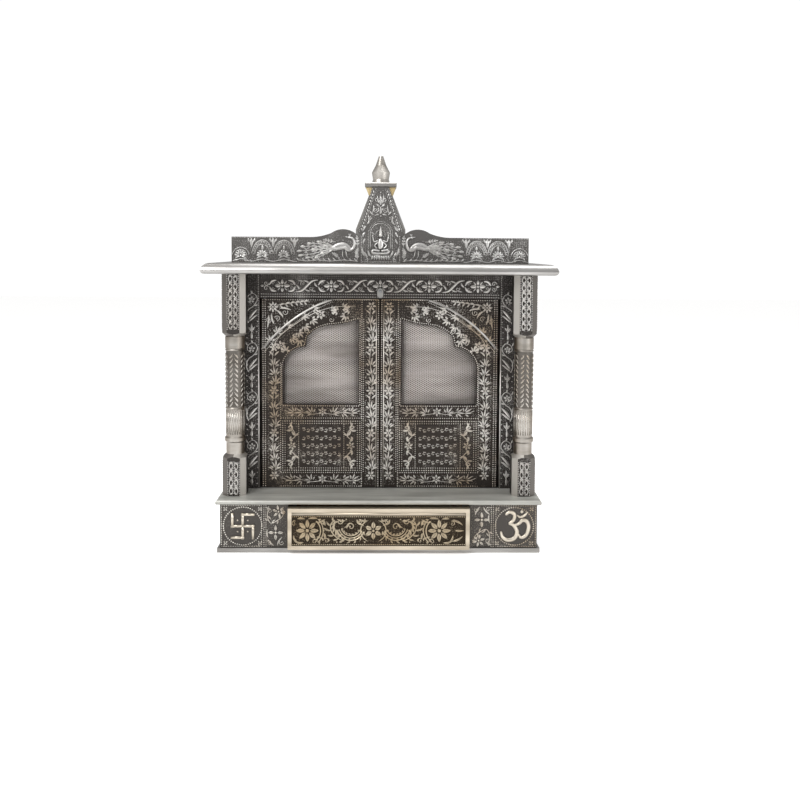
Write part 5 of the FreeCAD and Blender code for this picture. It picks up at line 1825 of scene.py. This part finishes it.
@dataclass(frozen=True)
class SpireLook:
    """Relief of the spire's front: a seated figure in an arch, scrolls above, diamonds at the edges."""

    face_y: float = -50.0
    foot: float = 376.0
    shoulder: float = 418.2
    head: float = 477.0
    shoulder_half: float = 30.0
    head_half: float = 11.2

    def half_at(self, height: Array | float) -> Array:
        """Half width of the tapering part at a height."""
        share = (np.asarray(height) - self.shoulder) / (self.head + 1.0 - self.shoulder)
        return self.shoulder_half + (self.head_half - self.shoulder_half) * share

    def add_borders(self, relief: Embossing) -> None:
        """Slanting borders of diamonds between two lines of beads."""
        heights = np.array([self.shoulder + 1.0, self.head - 1.5])
        for hand in HANDS:
            for inset, radius in ((1.1, 0.7), (6.0, 0.7)):
                edge = np.stack([hand * (self.half_at(heights) - inset), heights], axis=-1)
                relief.bead_row(edge, 2.0, radius)
            levels = np.arange(self.shoulder + 3.5, self.head - 4.0, 4.2)
            centres = np.stack([hand * (self.half_at(levels) - 3.6), levels], axis=-1)
            relief.leaves(centres - (0, 1.9), centres + (0, 1.9), 1.3, 0.0, 0.9)
            relief.bead_row([(hand * 25.8, self.foot + 1.2), (hand * 25.8, self.shoulder - 6.0)], 2.2, 0.8)

    def add_scrolls(self, relief: Embossing) -> None:
        """Leafy scrolls and a bud over the arch."""
        for hand in HANDS:
            relief.curls([(hand * 6.6, 447.6), (hand * 4.6, 461.6)], 4.2, math.pi / 2 + hand * 0.9, hand,
                         0.7, 1.2)
            relief.leaves([(hand * 0.6, 452.0), (hand * 1.0, 456.0), (hand * 9.6, 441.0),
                           (hand * 15.0, 434.0)],
                          [(hand * 5.6, 456.6), (hand * 3.8, 468.0), (hand * 13.8, 446.6),
                           (hand * 19.4, 428.0)],
                          1.3, 0.25 * hand, 1.0)
            relief.leaves([(hand * 12.0, 442.4), (hand * 17.0, 431.0), (hand * 2.0, 441.6)],
                          [(hand * 9.6, 455.0), (hand * 16.2, 441.0), (hand * 8.0, 440.0)], 1.1,
                          -0.2 * hand, 1.0)
            relief.flowers([(hand * 14.2, 436.6)], 3.4, 5)
            relief.leaves([(hand * 19.0, 426.4), (hand * 20.6, 418.0), (hand * 20.4, 409.0)],
                          [(hand * 23.8, 419.0), (hand * 24.0, 411.0), (hand * 23.4, 402.0)], 1.3, 0.2, 0.9)
        relief.leaves([(0.0, 441.6), (0.0, 454.0)], [(0.0, 452.4), (0.0, 468.6)], 1.7, 0.0, 1.1)
        relief.beads([(0.0, 471.0), (0.0, 439.4)], 1.1, 1.0)

    def add_figure(self, relief: Embossing) -> None:
        """A crowned figure seated cross-legged with four arms, on a lotus seat, in a beaded arch."""
        for reach in (13.6, 16.0):
            arch = arc((0.0, 416.0), reach, 0.0, math.pi, 24)
            outline = np.concatenate([[(reach, 396.0)], arch, [(-reach, 396.0)]])
            if reach > 14:
                relief.bead_row(outline, 2.0, 0.75)
            else:
                relief.ridge(spaced(outline, 2.5), 0.5, 0.9)
        t = np.linspace(0.0, 1.0, 8)
        swell = np.sin(np.pi * (0.15 + 0.8 * t))
        torso = np.linspace((0.0, 395.0), (0.0, 409.5), 8)[None]
        relief.strokes(torso, 4.4 * swell + 0.8, 2.4)
        relief.beads([(0.0, 413.6)], 3.4, 3.0, 12)
        relief.strokes(np.linspace((0.0, 415.6), (0.0, 425.6), 8)[None], 2.9 * (1 - t) + 0.5, 2.2)
        relief.arcs([(0.0, 414.2)], 6.6, -0.4, math.pi + 0.8, 0.5, 1.0, 16)
        relief.beads([(-3.8, 412.0), (3.8, 412.0), (-1.2, 414.2), (1.2, 414.2)], 0.8, 3.2)
        for hand in HANDS:
            upper = smooth([(hand * 3.6, 406.6), (hand * 8.6, 405.0), (hand * 10.4, 411.4)], 5)
            lower = smooth([(hand * 3.4, 404.6), (hand * 7.8, 399.6), (hand * 4.4, 396.0)], 5)
            leg = smooth([(hand * 1.4, 392.6), (hand * 9.6, 393.6), (hand * 10.2, 389.8),
                          (-hand * 2.0, 389.0)], 6)
            relief.strokes(upper[None], 1.25, 2.0)
            relief.strokes(lower[None], 1.35, 2.2)
            relief.strokes(leg[None], 1.9, 2.3)
            relief.beads([(hand * 10.6, 413.0)], 1.5, 1.8, 8)
            relief.flowers([(hand * 10.6, 416.4)], 2.4, 5)
            relief.leaves([(hand * 13.0, 384.6), (hand * 17.0, 384.0), (hand * 21.0, 384.6)],
                          [(hand * 16.4, 393.6), (hand * 21.4, 391.6), (hand * 24.2, 397.6)], 1.5,
                          0.2 * hand, 1.0)
            relief.curls([(hand * 19.4, 380.4)], 3.0, math.pi / 2, hand, 0.6, 1.1)
        petals = np.linspace(-10.5, 10.5, 8)
        relief.leaves(np.stack([petals, np.full(8, 386.8)], -1),
                      np.stack([petals * 1.12, np.full(8, 380.6)], -1),
                      1.5, 0.0, 1.3)
        relief.ridge([(-12.6, 387.0), (12.6, 387.0)], 0.6, 1.3)
        relief.bead_row([(-24.0, 377.6), (24.0, 377.6)], 2.2, 0.8)

    def build(self, finishes: Finishes) -> None:
        """Builds the relief."""
        relief = Embossing(front(self.face_y))
        relief.seeds((-24.0, self.foot + 1.0), (24.0, self.shoulder), 2.6, 0.5)
        relief.seeds((-15.0, self.shoulder), (15.0, 446.0), 2.6, 0.5)
        relief.seeds((-10.0, 446.0), (10.0, self.head - 2.0), 2.6, 0.5)
        self.add_borders(relief)
        self.add_scrolls(relief)
        self.add_figure(relief)
        relief.piece("spire_panel_relief", "cabinet", "embossed_metal", finishes.crest)


@dataclass(frozen=True)
class WallLook:
    """Relief of one end wall and of the base's end below it."""

    side: float
    wall_x: float = 200.0
    base_x: float = 206.5
    front: float = -39.0
    back: float = 112.0

    def ground(self, x: float) -> FlatGround:
        """An end face, measured from front to back and upwards."""
        return FlatGround((self.side * x, 0.0, 0.0), (0.0, 1.0, 0.0), (0.0, 0.0, 1.0),
                          (self.side, 0.0, 0.0))

    def build(self, finishes: Finishes) -> None:
        """Framed rows of flowers in lenses of leaves, set out as a net."""
        relief = Embossing(self.ground(self.wall_x))
        for inset in (2.0, 18.0):
            bead_frame(relief, (self.front + inset, 71.0 + inset), (self.back - inset, 360.0 - inset), 2.6,
                       0.95)
        sides = ((self.front + 11.0, 82.0), (self.back - 11.0, 349.0))
        for u in (sides[0][0], sides[1][0]):
            leaf_vine(relief, Band((u, 82.0), (u, 350.0), 7.0), 14)
        for v in (sides[0][1], sides[1][1]):
            leaf_vine(relief, Band((sides[0][0] + 10, v), (sides[1][0] - 10, v), 7.0), 6)
        centres = np.stack(np.meshgrid(np.linspace(-8.0, 81.0, 4), np.linspace(106.0, 325.0, 9)),
                           -1).reshape(-1, 2)
        relief.flowers(centres, 7.0, 8)
        middles = (centres.reshape(9, 4, 2)[:-1, :-1] + (14.8, 13.7)).reshape(-1, 2)
        relief.flowers(middles, 5.0, 4, math.pi / 4)
        for across, rise in ((1, 1), (1, -1), (-1, 1), (-1, -1)):
            relief.leaves(middles + (across * 4.0, rise * 4.0), middles + (across * 10.0, rise * 9.2), 1.5,
                          0.2)
        name = side_name(self.side)
        relief.piece(f"side_wall_{name}_relief", "cabinet", "embossed_metal", finishes.flank)
        base = Embossing(self.ground(self.base_x))
        bead_frame(base, (-94.0, 8.4), (116.0, 60.6), 2.6, 0.95)
        bead_frame(base, (-90.0, 12.4), (112.0, 56.6), 2.6, 0.8)
        scroll_vine(base, Band((-86.0, 34.5), (108.0, 34.5), 19.0), 5)
        base.piece(f"base_side_{name}_relief", "cabinet", "embossed_metal", finishes.flank)


def dress_nodes(finishes: Finishes) -> None:
    """Gives every CAD node its finish.

    Args:
        finishes: the materials.
    """
    for name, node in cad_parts.items():
        node.data.materials.clear()
        node.data.materials.append(finishes.by_node(name))


def main() -> None:
    """Builds the cabinet's looks in order and finishes the scene."""
    logging.basicConfig(level=logging.INFO, format="%(message)s")
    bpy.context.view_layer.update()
    finishes = Finishes(SharedEffects())
    dress_nodes(finishes)
    looks = (DoorLook(-1.0), DoorLook(1.0), FacadeLook(), ColumnLook(-1.0), ColumnLook(1.0), BaseLook(),
             DrawerLook(), CrestLook(-1.0), CrestLook(1.0), SpireLook(), WallLook(-1.0), WallLook(1.0))
    for look in looks:
        look.build(finishes)
    Studio().build()


if __name__ == "__main__":
    main()
